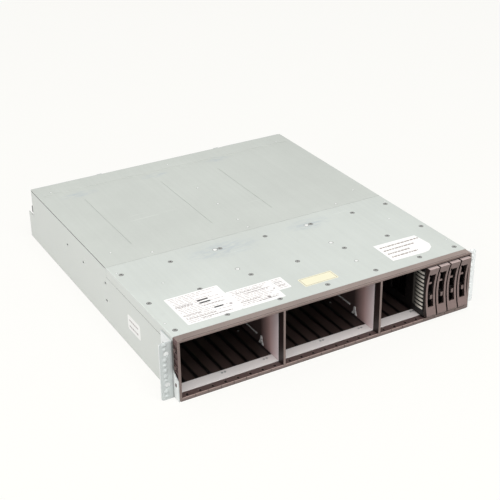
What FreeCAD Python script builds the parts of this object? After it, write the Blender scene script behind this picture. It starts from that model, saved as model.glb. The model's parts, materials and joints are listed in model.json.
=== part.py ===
import FreeCAD, Part
import math
import os
import re

import Sketcher
from FreeCAD import Vector

# A 2U disk shelf enclosure for a 19-inch rack, with 24 upright drive bays in three groups of eight.
# Four bays hold fillers; the rear holds two canisters between two power supplies.
# Frame: X to the right seen from the front, Y to the rear, Z up; the origin is under the middle.
# Inside the shell, y is measured from the front face of the sheet metal and then shifted by place().

# Driving sizes in millimetres.
SIZES = {
    # sheet-metal shell
    "body_width": 446.0,
    "body_height": 86.7,
    "cover_depth": 496.0,
    "front_panel_depth": 203.0,
    "rear_extension": 19.8,
    "rear_step_height": 43.0,
    "base_sheet": 1.2,
    "cover_sheet": 1.0,
    "panel_flange": 14.5,
    "seam_gap": 0.4,
    "cover_corner": 0.8,
    "wall_step": 0.6,
    "groove_width": 1.6,
    "groove_depth": 0.4,
    "groove_length": 170.0,
    "rear_band_width": 8.0,
    "rear_band_inset": 33.0,
    "rear_band_margin": 10.0,
    "groove_setback": 35.0,
    "rail_slot_length": 5.0,
    "rail_slot_height": 3.0,
    # rack ears
    "rack_width": 482.6,
    "ear_sheet": 2.0,
    "ear_height": 81.0,
    "ear_lift": 0.5,
    "ear_return": 30.0,
    "ear_hole_spacing": 465.1,
    "ear_hole_low": 21.3,
    "ear_hole_rise": 44.45,
    "ear_hole_diameter": 6.8,
    "ear_corner": 3.0,
    "ear_bend": 3.0,
    "guard_sheet": 1.2,
    "guard_rear_height": 41.0,
    "guard_front_height": 30.0,
    # bezel
    "bezel_depth": 12.6,
    "bezel_side": 3.3,
    "bezel_rail": 2.5,
    "bezel_shelf": 4.5,
    "bezel_corner": 2.5,
    "post_width": 3.0,
    "keeper_width": 3.2,
    "keeper_length": 4.4,
    "keeper_depth": 3.0,
    "keeper_setback": 6.3,
    "trim_groove_width": 0.6,
    "trim_groove_depth": 0.6,
    "trim_groove_setback": 1.8,
    "trim_groove_margin": 8.0,
    "lip_width": 1.3,
    "lip_rise": 0.8,
    "side_recess_depth": 1.2,
    "side_recess_margin": 1.4,
    "side_recess_bottom": 8.0,
    "side_rib_width": 1.2,
    "side_rib_pitch": 9.0,
    "side_rib_count": 7,
    "tick_width": 0.9,
    "tick_height": 3.2,
    "tick_depth": 0.6,
    "hook_height": 4.0,
    "hook_length": 3.0,
    "hook_reach": 1.6,
    # bays
    "bays_per_group": 8,
    "bay_pitch": 17.9,
    "group_pitch": 147.5,
    "running_gap": 0.3,
    # sill, guides and dividers
    "sill_depth": 17.5,
    "sill_sheet": 1.2,
    "rivet_setback": 5.5,
    "guide_margin": 0.2,
    "guide_rear": 177.5,
    "guide_plate": 2.4,
    "rib_height": 1.5,
    "rib_lead_width": 1.2,
    "rib_width": 3.8,
    "rib_flare_start": 45.0,
    "rib_flare_end": 52.0,
    "divider_sheet": 1.0,
    "divider_rear": 178.0,
    "clip_height": 12.5,
    "clip_width": 12.0,
    "clip_sheet": 1.0,
    "clip_setback": 38.0,
    "spring_rail_height": 1.8,
    "spring_rail_length": 95.0,
    "spring_rail_setback": 55.0,
    "spring_rail_level": 16.0,
    # midplane
    "board_thickness": 2.4,
    "board_height": 76.0,
    "board_margin": 3.0,
    "board_screw_inset": 5.0,
    "slot_width": 6.0,
    "slot_height": 52.0,
    "drive_plug_width": 6.0,
    "drive_plug_height": 42.0,
    "drive_plug_reach": 9.0,
    "drive_plug_level": 22.0,
    "module_plug_width": 60.0,
    "module_plug_height": 12.0,
    "stiffener_height": 15.0,
    "stiffener_foot": 12.0,
    # fillers and their levers
    "filler_width": 15.3,
    "runner_width": 13.0,
    "runner_height": 1.8,
    "filler_front": -7.0,
    "filler_length": 125.0,
    "filler_wall": 1.4,
    "filler_floor": 4.2,
    "face_recess": 19.0,
    "side_window_start": 40.0,
    "side_window_length": 32.0,
    "side_window_pitch": 40.0,
    "side_window_margin": 8.0,
    "louvre_width": 0.9,
    "louvre_pitch": 3.1,
    "lever_width": 15.6,
    "lever_bottom": 7.5,
    "lever_height": 75.0,
    "lever_reach": 18.6,
    "lever_hollow": 6.5,
    "lever_back": 9.5,
    "lever_rail": 3.0,
    "lever_face": 2.0,
    "lever_toe_round": 3.0,
    "lever_heel_chamfer": 2.0,
    "lever_window_bottom": 22.0,
    "lever_window_top": 72.0,
    "lever_notch_width": 1.4,
    "lever_notch_height": 2.5,
    "stub_bottom": 57.0,
    "stub_height": 2.5,
    "stub_depth": 2.2,
    "slot_overlap": 0.4,
    "pivot_setback": 11.5,
    "pivot_level": 13.0,
    "pivot_lug_radius": 2.8,
    "pivot_lug_top": 6.0,
    "pivot_lug_root": 14.0,
    "pivot_pin_diameter": 3.0,
    "pivot_pin_length": 1.7,
    "latch_height": 6.0,
    "latch_level": 32.0,
    "latch_width": 4.1,
    "latch_front": 11.3,
    "latch_head": 1.8,
    "bar_thickness": 2.0,
    "finger_pitch": 6.0,
    "finger_count": 10,
    "finger_height": 3.2,
    "finger_level": 15.9,
    "finger_sheet": 0.3,
    "finger_bulge": 1.1,
    "finger_front": 6.3,
    "finger_root": 12.0,
    "comb_strip": 4.0,
    # rear modules
    "module_face": 500.0,
    "module_gap": 0.4,
    "canister_width": 222.0,
    "canister_height": 40.7,
    "canister_sheet": 1.2,
    "face_plate": 1.5,
    "shelf_sheet": 1.2,
    "partition_sheet": 1.2,
    "pcb_thickness": 1.6,
    "pcb_standoff": 3.0,
    "pcb_margin": 1.0,
    "pcb_setback": 4.0,
    "standoff_width": 5.0,
    "standoff_inset": 10.0,
    "standoff_setback": 20.0,
    "port_width": 19.5,
    "port_height": 10.0,
    "port_depth": 30.0,
    "port_pitch": 28.0,
    "cage_wall": 0.8,
    "cage_end": 8.0,
    "module_plug_length": 14.0,
    "vent_width": 3.5,
    "vent_height": 5.0,
    "vent_pitch": 7.0,
    "vent_gap": 2.0,
    "vent_count": 18,
    "sink_width": 46.0,
    "sink_depth": 50.0,
    "sink_height": 18.0,
    "sink_setback": 110.0,
    "sink_base": 3.0,
    "fin_thickness": 1.2,
    "fin_count": 9,
    "ejector_level": 27.0,
    "ejector_offset": 4.6,
    "ejector_length": 62.0,
    "ejector_height": 9.0,
    "ejector_thickness": 5.0,
    "ejector_boss": 8.0,
    "ejector_setback": 6.0,
    "thumb_rise": 3.0,
    "thumb_length": 12.0,
    "thumb_slope": 4.0,
    "hinge_plate": 1.5,
    "fan_bore": 62.0,
    "fan_bore_depth": 24.0,
    "fan_plate": 2.0,
    "fan_offset": 16.0,
    "fan_level": 43.5,
    "fan_hub": 26.0,
    "fan_depth": 14.0,
    "fan_tip_gap": 2.5,
    "fan_blade_count": 7,
    "blade_root": 1.5,
    "blade_margin": 1.5,
    "blade_sweep": 7.0,
    "blade_thickness": 1.4,
    "spindle_diameter": 5.0,
    "spindle_tip": 1.0,
    "grille_slots": 6,
    "inlet_width": 27.5,
    "inlet_height": 20.0,
    "inlet_depth": 18.0,
    "inlet_offset": -36.0,
    "inlet_level": 63.0,
    "blade_pin_width": 2.0,
    "blade_pin_height": 4.0,
    "blade_pin_recess": 4.0,
    "bail_width": 26.0,
    "bail_length": 24.0,
    "bail_rod": 5.0,
    "bail_offset": -30.0,
    "bail_level": 9.0,
    "bail_face_gap": 0.6,
    "bail_round_gap": 0.1,
    "tab_width": 7.0,
    "tab_height": 9.0,
    "tab_reach": 11.0,
    "tab_level": 38.0,
    "tab_travel": 3.0,
    "tab_inset": 3.0,
    "tab_slot_depth": 6.0,
    "grip_width": 1.0,
    "grip_depth": 0.6,
    "grip_pitch": 2.0,
    "grip_count": 3,
    # fasteners
    "screw_head": 5.6,
    "screw_height": 0.3,
    "ear_screw_setback": 8.0,
    "rivet_head": 3.0,
    "rivet_height": 0.5,
    "rivet_pitch": 4.2,
}

# Places worked out from the driving sizes.
LAYOUT = {
    "half_width": "body_width / 2",
    "inner_half": "body_width / 2 - base_sheet",
    "joggle_half": "body_width / 2 - base_sheet - cover_sheet",
    "roof_under": "body_height - cover_sheet",
    "flange_bottom": "body_height - panel_flange",
    "tray_depth": "cover_depth + rear_extension",
    "divider_x": "group_pitch / 2",
    "group_half": "bay_pitch * bays_per_group / 2",
    "window_half": "body_width / 2 - bezel_side",
    "filler_bottom": "bezel_shelf + running_gap",
    "upper_guide_under": "body_height - cover_sheet - guide_plate",
    "filler_top": "body_height - cover_sheet - guide_plate - running_gap",
    "lever_top": "lever_bottom + lever_height",
    "lever_radius": "((lever_height / 2) ^ 2 + lever_hollow ^ 2) / (2 * lever_hollow)",
    "lever_waist": "-lever_reach + lever_hollow",
    "slot_half": "lever_width / 2 - lever_rail",
    "board_front": "divider_rear",
    "board_rear": "divider_rear + board_thickness",
    "partition_inner": "canister_width / 2 + module_gap",
    "partition_outer": "canister_width / 2 + module_gap + partition_sheet",
    "supply_width": "body_width / 2 - base_sheet - canister_width / 2 - partition_sheet - 3 * module_gap",
    "supply_x": "(body_width / 2 - base_sheet + canister_width / 2 + partition_sheet + module_gap) / 2",
    "supply_bottom": "base_sheet + module_gap",
    "supply_height": "body_height - cover_sheet - base_sheet - 2 * module_gap",
    "shelf_under": "base_sheet + canister_height + 2 * module_gap",
    "upper_canister_bottom": "base_sheet + canister_height + 3 * module_gap + shelf_sheet",
    "plate_inside": "module_face - face_plate",
    "pcb_top": "canister_sheet + pcb_standoff + pcb_thickness",
    "port_bottom": "canister_sheet + pcb_standoff + pcb_thickness + cage_wall",
    "ejector_x": "canister_width / 2 - ejector_setback",
    "ejector_y": "module_face + ejector_offset",
    "fan_floor": "module_face - face_plate - fan_bore_depth",
    "bail_y": "module_face + bail_face_gap + bail_rod / 2",
    "bail_pivot": "bail_level + bail_rod / 2",
    "module_front": "front_panel_depth + 2 * module_gap",
    "shift_y": "(lever_reach - cover_depth - rear_extension) / 2",
}

LEFT = -1
RIGHT = 1
GROUPS = {"left": -1, "centre": 0, "right": 1}
FILLED_BAYS = [5, 6, 7, 8]
ROWS_OF_SCREWS = ["13", "87.3", "guide_rear - 3.5"]
SCREW_PAST_MIDDLE = 6.5
SCREW_PAST_DIVIDER = 8.4
SCREW_FROM_EDGE = 10.0
HEAD_SIDES = 12
RAIL_SLOTS = [("208", "61"), ("208", "34"), ("288", "56"), ("349", "57")]
COVER_GROOVES = ["-165", "-38", "62"]
HOOK_LEVELS = ["body_height - 15", "body_height - 40", "body_height - 65"]
RIVET_PAIRS = [(-1, "-1.7"), (-1, "59.5"), (0, "-1.7"), (0, "59.5"), (1, "-1.7")]
GUIDE_SCREW_GROUPS = [-1, 0]
GUIDE_SCREW_DEPTH = "90"
EAR_SCREW_SHARES = ["0.2", "0.5", "0.8"]
PORT_PLACES = [-1.5, -0.5, 0.5, 1.5]
GRILLE_RINGS = [("7", "12.5"), ("15.5", "20.5"), ("23.5", "28.5")]
GRILLE_SPREAD = 25
INLET_PINS = [("-7", "2"), ("0", "-3"), ("7", "2")]
OVERCUT = "1"

document = FreeCAD.newDocument("disk_shelf_enclosure")
sizes = document.addObject("Spreadsheet::Sheet", "Sizes")
layout = document.addObject("Spreadsheet::Sheet", "Layout")
nodes = []


# ---------------------------------------------------------------- formulas and sheets

def formula(text):
    """A formula with each named size pointed at the sheet that holds it."""
    def point(match):
        word = match.group(0)
        if word in SIZES:
            return "Sizes." + word
        if word in LAYOUT:
            return "Layout." + word
        return word
    return re.sub(r"[A-Za-z_]\w*", point, str(text))


def value(text):
    """The number that a formula gives now."""
    return float(sizes.evalExpression(formula(text)))


def fill_sheets():
    for row, (name, size) in enumerate(SIZES.items(), start=1):
        sizes.set(f"A{row}", name)
        sizes.set(f"B{row}", str(size))
        sizes.setAlias(f"B{row}", name)
    document.recompute()
    for row, (name, text) in enumerate(LAYOUT.items(), start=1):
        layout.set(f"A{row}", name)
        layout.set(f"B{row}", "=" + formula(text))
        layout.setAlias(f"B{row}", name)
    document.recompute()


# ---------------------------------------------------------------- bodies, sketches and features

def new_body(label, x="0", y="0", z="0"):
    """A named body; its y is measured from the front face of the sheet metal."""
    body = document.addObject("PartDesign::Body", label)
    body.Label = label
    body.AllowCompound = True
    body.setExpression("Placement.Base.x", formula(x))
    body.setExpression("Placement.Base.y", formula(f"shift_y + {y}"))
    body.setExpression("Placement.Base.z", formula(z))
    nodes.append(body)
    return body


def origin_feature(body, role):
    return next(item for item in body.Origin.OriginFeatures if item.Role == role)


def new_sketch(body, plane, level="0", x="0", y="0"):
    """A sketch across one axis: XY at z = level, XZ at y = level, YZ at x = level.

    x and y move the sketch's own origin across its plane.
    """
    sketch = body.newObject("Sketcher::SketchObject", body.Name + "_sketch")
    sketch.AttachmentSupport = [(origin_feature(body, plane + "_Plane"), "")]
    sketch.MapMode = "FlatFace"
    away = -1 if plane == "XZ" else 1
    sketch.setExpression("AttachmentOffset.Base.x", formula(x))
    sketch.setExpression("AttachmentOffset.Base.y", formula(y))
    sketch.setExpression("AttachmentOffset.Base.z", formula(f"{away} * ({level})"))
    return sketch


def drive(sketch, kind, geometry, point, text):
    """One coordinate of a point, held by a formula."""
    number = sketch.addConstraint(Sketcher.Constraint(kind, geometry, point, value(text)))
    sketch.setExpression(f"Constraints[{number}]", formula(text))


def add_arc(sketch, start, end, radius):
    """An arc from start to end; a positive radius bulges to the right of the way there."""
    chord = end - start
    half = chord.Length / 2
    size = abs(radius)
    side = 1 if radius > 0 else -1
    left = Vector(-chord.y, chord.x, 0).normalize()
    centre = start + chord * 0.5 + left * side * math.sqrt(size ** 2 - half ** 2)
    first, last = (start, end) if side > 0 else (end, start)
    angle_first = math.atan2(first.y - centre.y, first.x - centre.x)
    angle_last = math.atan2(last.y - centre.y, last.x - centre.x)
    ring = Part.Circle(centre, Vector(0, 0, 1), size)
    geometry = sketch.addGeometry(Part.ArcOfCircle(ring, angle_first, angle_last))
    return geometry, (1 if side > 0 else 2), (2 if side > 0 else 1)


def outline(sketch, corners, arcs=None):
    """A closed outline through corners, each two formulas; arcs gives some edges a radius."""
    arcs = arcs or {}
    points = [Vector(value(x), value(y), 0) for x, y in corners]
    edges = []
    for index, start in enumerate(points):
        end = points[(index + 1) % len(points)]
        if index in arcs:
            edges.append(add_arc(sketch, start, end, value(arcs[index])))
        else:
            edges.append((sketch.addGeometry(Part.LineSegment(start, end)), 1, 2))
    for index, (geometry, first, last) in enumerate(edges):
        following = edges[(index + 1) % len(edges)]
        sketch.addConstraint(Sketcher.Constraint("Coincident", geometry, last, following[0], following[1]))
    for (x, y), (geometry, first, last) in zip(corners, edges):
        drive(sketch, "DistanceX", geometry, first, x)
        drive(sketch, "DistanceY", geometry, first, y)
    for index, radius in arcs.items():
        number = sketch.addConstraint(Sketcher.Constraint("Radius", edges[index][0], abs(value(radius))))
        sketch.setExpression(f"Constraints[{number}]", formula(f"abs({radius})"))


def rectangle(sketch, left, right, bottom, top):
    outline(sketch, [(left, bottom), (right, bottom), (right, top), (left, top)])


def hexagon(sketch, x, y, across):
    """Six corners, with the given width across two opposite flats."""
    reach = f"({across}) / sqrt(3)"
    corners = [("-1", "0"), ("-0.5", "-sqrt(3) / 2"), ("0.5", "-sqrt(3) / 2"),
               ("1", "0"), ("0.5", "sqrt(3) / 2"), ("-0.5", "sqrt(3) / 2")]
    outline(sketch, [(f"{x} + ({across_share}) * {reach}", f"{y} + ({up_share}) * {reach}")
                     for across_share, up_share in corners])


def circle(sketch, x, y, diameter):
    ring = Part.Circle(Vector(value(x), value(y), 0), Vector(0, 0, 1), value(diameter) / 2)
    geometry = sketch.addGeometry(ring)
    drive(sketch, "DistanceX", geometry, 3, x)
    drive(sketch, "DistanceY", geometry, 3, y)
    number = sketch.addConstraint(Sketcher.Constraint("Diameter", geometry, value(diameter)))
    sketch.setExpression(f"Constraints[{number}]", formula(diameter))


def extrude(body, kind, sketch, length, sense):
    """A Pad or a Pocket; sense is 1 or -1 along the crossed axis, or 0 for both ways."""
    feature = body.newObject("PartDesign::" + kind, f"{body.Name}_{kind.lower()}")
    feature.Profile = sketch
    feature.setExpression("Length", formula(length))
    across_y = sketch.AttachmentSupport[0][0].Role == "XZ_Plane"
    along_normal = (sense > 0) != across_y
    if sense == 0:
        feature.SideType = "Symmetric"
    elif kind == "Pad":
        feature.Reversed = not along_normal
    else:
        feature.Reversed = along_normal
    body.Tip = feature
    return feature


def block(body, plane, level, left, right, bottom, top, length, sense=1, kind="Pad"):
    """A rectangle on its own sketch, padded or pocketed."""
    sketch = new_sketch(body, plane, level)
    rectangle(sketch, left, right, bottom, top)
    return extrude(body, kind, sketch, length, sense)


def pin(body, plane, level, x, y, diameter, length, sense=1, kind="Pad"):
    """A circle on its own sketch, padded or pocketed."""
    sketch = new_sketch(body, plane, level)
    circle(sketch, x, y, diameter)
    return extrude(body, kind, sketch, length, sense)


def repeat(body, feature, axis, spacing, count):
    """Copies of a feature at an even pitch along one axis of the body."""
    pattern = body.newObject("PartDesign::LinearPattern", body.Name + "_row")
    pattern.Originals = [feature]
    pattern.Direction = (origin_feature(body, axis + "_Axis"), [""])
    pattern.Mode = "Spacing"
    pattern.setExpression("Offset", formula(spacing))
    pattern.setExpression("Occurrences", formula(count))
    body.Tip = pattern
    return pattern


def ring_of(body, feature, axis, count):
    """Copies of a feature evenly round an axis, given as the body's axis or a sketch."""
    pattern = body.newObject("PartDesign::PolarPattern", body.Name + "_ring")
    pattern.Originals = [feature]
    pattern.Axis = axis
    pattern.Angle = 360
    pattern.setExpression("Occurrences", formula(count))
    body.Tip = pattern
    return pattern


def round_edges(body, radius, wanted, kind="Fillet"):
    """A Fillet or Chamfer on the edges of the tip that the test wanted accepts."""
    document.recompute()
    base = body.Tip
    names = [f"Edge{number}" for number, edge in enumerate(base.Shape.Edges, start=1) if wanted(edge)]
    feature = body.newObject("PartDesign::" + kind, f"{body.Name}_{kind.lower()}")
    feature.Base = (base, names)
    feature.setExpression("Radius" if kind == "Fillet" else "Size", formula(radius))
    body.Tip = feature
    return feature


def upright_at(edge, x, y):
    """Whether an edge runs along Z at this x and y."""
    box = edge.BoundBox
    return near(box.XMin, x) and near(box.XMax, x) and near(box.YMin, y) and near(box.YMax, y)


def deep_at(edge, x, z):
    """Whether an edge runs along Y at this x and z."""
    box = edge.BoundBox
    return near(box.XMin, x) and near(box.XMax, x) and near(box.ZMin, z) and near(box.ZMax, z)


def near(one, other):
    return abs(one - other) < 0.01


def bay_x(group, bay):
    """The middle of a bay, counted from 1 inside its group."""
    return f"({group}) * group_pitch + ({bay} - (bays_per_group + 1) / 2) * bay_pitch"


def screw_columns():
    """The x of each column of screws in the front top panel."""
    columns = [f"-half_width + {SCREW_FROM_EDGE}", f"half_width - {SCREW_FROM_EDGE}"]
    columns += [f"({group}) * group_pitch + {SCREW_PAST_MIDDLE}" for group in GROUPS.values()]
    columns += [f"({side}) * divider_x + {SCREW_PAST_DIVIDER}" for side in (LEFT, RIGHT)]
    return columns


# ---------------------------------------------------------------- shell

def make_base_tray():
    """Floor and side walls in one folded sheet, with a lower end behind the rear cover."""
    body = new_body("base_tray")
    section = new_sketch(body, "XZ")
    outline(section, [
        ("-half_width", "0"), ("half_width", "0"), ("half_width", "roof_under - wall_step"),
        ("half_width - wall_step", "roof_under - wall_step"), ("half_width - wall_step", "roof_under"),
        ("inner_half", "roof_under"), ("inner_half", "base_sheet"),
        ("-inner_half", "base_sheet"), ("-inner_half", "roof_under"),
        ("-half_width + wall_step", "roof_under"), ("-half_width + wall_step", "roof_under - wall_step"),
        ("-half_width", "roof_under - wall_step")])
    extrude(body, "Pad", section, "tray_depth", 1)
    block(body, "YZ", "0", "cover_depth", f"tray_depth + {OVERCUT}", "rear_step_height",
          f"body_height + {OVERCUT}", f"body_width + {OVERCUT}", 0, "Pocket")
    for side in (LEFT, RIGHT):
        edges = [f"({side}) * half_width", f"({side}) * (half_width - cover_sheet)"]
        block(body, "XZ", "0", edges[0], edges[1], "flange_bottom - seam_gap",
              f"body_height + {OVERCUT}", "front_panel_depth", 1, "Pocket")
        edges = [f"({side}) * inner_half", f"({side}) * joggle_half"]
        block(body, "XZ", "0", edges[0], edges[1], "flange_bottom - seam_gap - base_sheet",
              "roof_under", "front_panel_depth", 1)
    slots = new_sketch(body, "YZ")
    for y, z in RAIL_SLOTS:
        rectangle(slots, f"{y} - rail_slot_length / 2", f"{y} + rail_slot_length / 2",
                  f"{z} - rail_slot_height / 2", f"{z} + rail_slot_height / 2")
    extrude(body, "Pocket", slots, f"body_width + {OVERCUT}", 0)
    return body


def make_front_top_panel():
    """Front part of the top, folded down over the side walls."""
    body = new_body("front_top_panel")
    flange_inside = "(half_width - cover_sheet)"
    section = new_sketch(body, "XZ")
    outline(section, [
        ("-half_width", "flange_bottom"), (f"-{flange_inside}", "flange_bottom"),
        (f"-{flange_inside}", "roof_under"), (flange_inside, "roof_under"),
        (flange_inside, "flange_bottom"), ("half_width", "flange_bottom"),
        ("half_width", "body_height"), ("-half_width", "body_height")])
    extrude(body, "Pad", section, "front_panel_depth - seam_gap / 2", 1)
    round_edges(body, "cover_corner", lambda edge: top_side_edge(edge))
    return body


def top_side_edge(edge):
    """Whether an edge is one of the two long upper side edges of a cover."""
    height = value("body_height")
    half = value("half_width")
    return deep_at(edge, half, height) or deep_at(edge, -half, height)


def make_rear_top_cover():
    """Flat rear part of the top, with shallow pressed grooves."""
    body = new_body("rear_top_cover")
    start = "(front_panel_depth + seam_gap / 2)"
    block(body, "XY", "roof_under", "-half_width", "half_width", start, "cover_depth", "cover_sheet")
    round_edges(body, "cover_corner", lambda edge: top_side_edge(edge))
    grooves = new_sketch(body, "XY", "body_height")
    rear = "cover_depth - rear_band_inset"
    groove_rear = f"{rear} - rear_band_width - groove_setback"
    for x in COVER_GROOVES:
        rectangle(grooves, f"{x} - groove_width / 2", f"{x} + groove_width / 2",
                  f"{groove_rear} - groove_length", groove_rear)
    rectangle(grooves, "-half_width + rear_band_margin", "half_width - rear_band_margin",
              f"{rear} - rear_band_width", rear)
    extrude(body, "Pocket", grooves, "groove_depth", -1)
    return body


def make_rack_ear(label, side):
    """Folded rack ear: a slotted front flange, a return on the wall and a guard beside the bezel."""
    body = new_body(label)
    wall = f"({side}) * half_width"
    skin = f"({side}) * (half_width + ear_sheet)"
    tip = f"({side}) * rack_width / 2"
    plan = new_sketch(body, "XY", "ear_lift")
    outline(plan, [(wall, "0"), (tip, "0"), (tip, "ear_sheet"), (skin, "ear_sheet"),
                   (skin, "ear_return"), (wall, "ear_return")])
    extrude(body, "Pad", plan, "ear_height", 1)
    round_edges(body, "ear_bend", lambda edge: upright_at(edge, side * value("half_width"), 0))
    guard = new_sketch(body, "YZ", wall)
    outline(guard, [("ear_bend", "ear_lift"), ("ear_bend", "guard_rear_height"),
                    ("-bezel_depth", "guard_front_height"), ("-bezel_depth", "ear_lift")])
    extrude(body, "Pad", guard, "guard_sheet", side)
    block(body, "YZ", wall, "-bezel_depth / 2 - hook_length / 2 - running_gap",
          "-bezel_depth / 2 + hook_length / 2 + running_gap",
          f"{HOOK_LEVELS[-1]} - hook_height / 2 - running_gap",
          f"{HOOK_LEVELS[-1]} + hook_height / 2 + running_gap", f"guard_sheet + {OVERCUT}", side, "Pocket")
    round_edges(body, "ear_corner", lambda edge: tip_corner(edge, side))
    holes = new_sketch(body, "XZ")
    for level in ("ear_hole_low", "ear_hole_low + ear_hole_rise"):
        circle(holes, f"({side}) * ear_hole_spacing / 2", level, "ear_hole_diameter")
    extrude(body, "Pocket", holes, f"ear_sheet + {OVERCUT}", 1)
    return body


def tip_corner(edge, side):
    """Whether an edge is an outer corner of a rack ear's flange, running along Y."""
    box = edge.BoundBox
    tip = side * value("rack_width") / 2
    return near(box.XMin, tip) and near(box.XMax, tip) and near(box.ZMin, box.ZMax)


def make_bezel():
    """Moulded front collar: three windows, a shelf with keeper slots and ticks, and snap hooks."""
    body = new_body("front_bezel")
    block(body, "XZ", "0", "-half_width", "half_width", "0", "body_height", "bezel_depth", -1)
    round_edges(body, "bezel_corner", bezel_corner_edge)
    windows = new_sketch(body, "XZ")
    clear_half = "(divider_x - post_width / 2)"
    far_half = "(divider_x + post_width / 2)"
    top = "body_height - bezel_rail"
    rectangle(windows, "-window_half", f"-{far_half}", "bezel_shelf", top)
    rectangle(windows, f"-{clear_half}", clear_half, "bezel_shelf", top)
    rectangle(windows, far_half, "window_half", "bezel_shelf", top)
    extrude(body, "Pocket", windows, f"bezel_depth + {OVERCUT}", -1)
    trays = new_sketch(body, "XY", "bezel_shelf")
    lip_rear = "(-bezel_depth + lip_width)"
    rectangle(trays, "-window_half", f"-{far_half}", lip_rear, OVERCUT)
    rectangle(trays, f"-{clear_half}", clear_half, lip_rear, OVERCUT)
    rectangle(trays, far_half, "window_half", lip_rear, OVERCUT)
    extrude(body, "Pocket", trays, "lip_rise", -1)
    keepers = new_sketch(body, "XY", "bezel_shelf")
    for group in GROUPS.values():
        for bay in range(1, int(value("bays_per_group")) + 1):
            middle = bay_x(group, bay)
            rectangle(keepers, f"{middle} - keeper_width / 2", f"{middle} + keeper_width / 2",
                      "-keeper_setback - keeper_length / 2", "-keeper_setback + keeper_length / 2")
    extrude(body, "Pocket", keepers, "keeper_depth", -1)
    groove_rear = "(-bezel_depth + trim_groove_setback + trim_groove_width)"
    block(body, "XY", "body_height", "-half_width + trim_groove_margin", "half_width - trim_groove_margin",
          "-bezel_depth + trim_groove_setback", groove_rear, "trim_groove_depth", -1, "Pocket")
    ticks = new_sketch(body, "XZ", "-bezel_depth")
    for group in GROUPS.values():
        for bay in range(1, int(value("bays_per_group"))):
            edge = f"({bay_x(group, bay)} + bay_pitch / 2)"
            rectangle(ticks, f"{edge} - tick_width / 2", f"{edge} + tick_width / 2",
                      "bezel_shelf - tick_height", f"bezel_shelf + {OVERCUT}")
    extrude(body, "Pocket", ticks, "tick_depth", 1)
    for side in (LEFT, RIGHT):
        add_bezel_side(body, side)
    return body


def add_bezel_side(body, side):
    """A recess in one end face, crossed by ribs, with three snap hooks standing out of it."""
    face = f"({side}) * half_width"
    floor = f"({side}) * (half_width - side_recess_depth)"
    front = "(-bezel_depth + side_recess_margin)"
    low = "side_recess_bottom"
    block(body, "YZ", face, front, "-side_recess_margin", low, "body_height - side_recess_bottom",
          "side_recess_depth", -side, "Pocket")
    first = f"({low} + side_rib_pitch / 2)"
    rib = block(body, "YZ", floor, front, "-side_recess_margin", first, f"{first} + side_rib_width",
                "side_recess_depth", side)
    repeat(body, rib, "Z", "side_rib_pitch", "side_rib_count")
    hooks = new_sketch(body, "YZ", floor)
    for level in HOOK_LEVELS:
        rectangle(hooks, "-bezel_depth / 2 - hook_length / 2", "-bezel_depth / 2 + hook_length / 2",
                  f"{level} - hook_height / 2", f"{level} + hook_height / 2")
    extrude(body, "Pad", hooks, "side_recess_depth + hook_reach", side)


def bezel_corner_edge(edge):
    """Whether an edge is one of the four outer corners of the bezel, running along Y."""
    half = value("half_width")
    height = value("body_height")
    return any(deep_at(edge, x, z) for x in (-half, half) for z in (0, height))


# ---------------------------------------------------------------- inside the shell

def make_front_sill():
    """Bright ledge behind the bezel's shelf, folded down to the floor at both edges."""
    body = new_body("front_sill")
    section = new_sketch(body, "YZ")
    inside_rear = "(sill_depth - sill_sheet)"
    outline(section, [
        ("0", "base_sheet"), ("0", "bezel_shelf"), ("sill_depth", "bezel_shelf"),
        ("sill_depth", "base_sheet"), (inside_rear, "base_sheet"),
        (inside_rear, "bezel_shelf - sill_sheet"), ("sill_sheet", "bezel_shelf - sill_sheet"),
        ("sill_sheet", "base_sheet")])
    extrude(body, "Pad", section, "2 * inner_half", 0)
    return body


def make_divider(label, side):
    """Folded channel between two groups of bays, standing on the sill and the floor."""
    body = new_body(label, f"({side}) * divider_x")
    half = "post_width / 2"
    block(body, "XY", "base_sheet", f"-{half}", half, "0", "divider_rear", "roof_under - base_sheet")
    block(body, "XY", "base_sheet", f"-{half} + divider_sheet", f"{half} - divider_sheet",
          "divider_sheet", f"divider_rear + {OVERCUT}", "body_height", 1, "Pocket")
    block(body, "XY", "bezel_shelf", f"-{half} - {OVERCUT}", f"{half} + {OVERCUT}", f"-{OVERCUT}",
          "sill_depth", "body_height", -1, "Pocket")
    return body


def make_divider_clips():
    """On each divider's left face, a forked grounding clip and a spring rail behind it."""
    body = new_body("divider_clips")
    for side in (LEFT, RIGHT):
        face = f"({side}) * divider_x - post_width / 2"
        sketch = new_sketch(body, "YZ", face)
        front = "clip_setback"
        foot = "bezel_shelf + rib_height + running_gap"
        neck = f"({foot} + clip_height / 2)"
        outline(sketch, [
            (front, foot), (f"{front} + clip_width / 3", foot),
            (f"{front} + clip_width / 2", f"{neck} - 2"), (f"{front} + 2 * clip_width / 3", foot),
            (f"{front} + clip_width", foot), (f"{front} + 2 * clip_width / 3", neck),
            (f"{front} + 7 * clip_width / 12", f"{foot} + clip_height"),
            (f"{front} + 4 * clip_width / 12", f"{foot} + clip_height"),
            (f"{front} + clip_width / 4", neck)])
        extrude(body, "Pad", sketch, "clip_sheet", LEFT)
        rail = new_sketch(body, "YZ", face)
        rectangle(rail, "spring_rail_setback", "spring_rail_setback + spring_rail_length",
                  "spring_rail_level", "spring_rail_level + spring_rail_height")
        extrude(body, "Pad", rail, "clip_sheet", LEFT)
    return body


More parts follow.
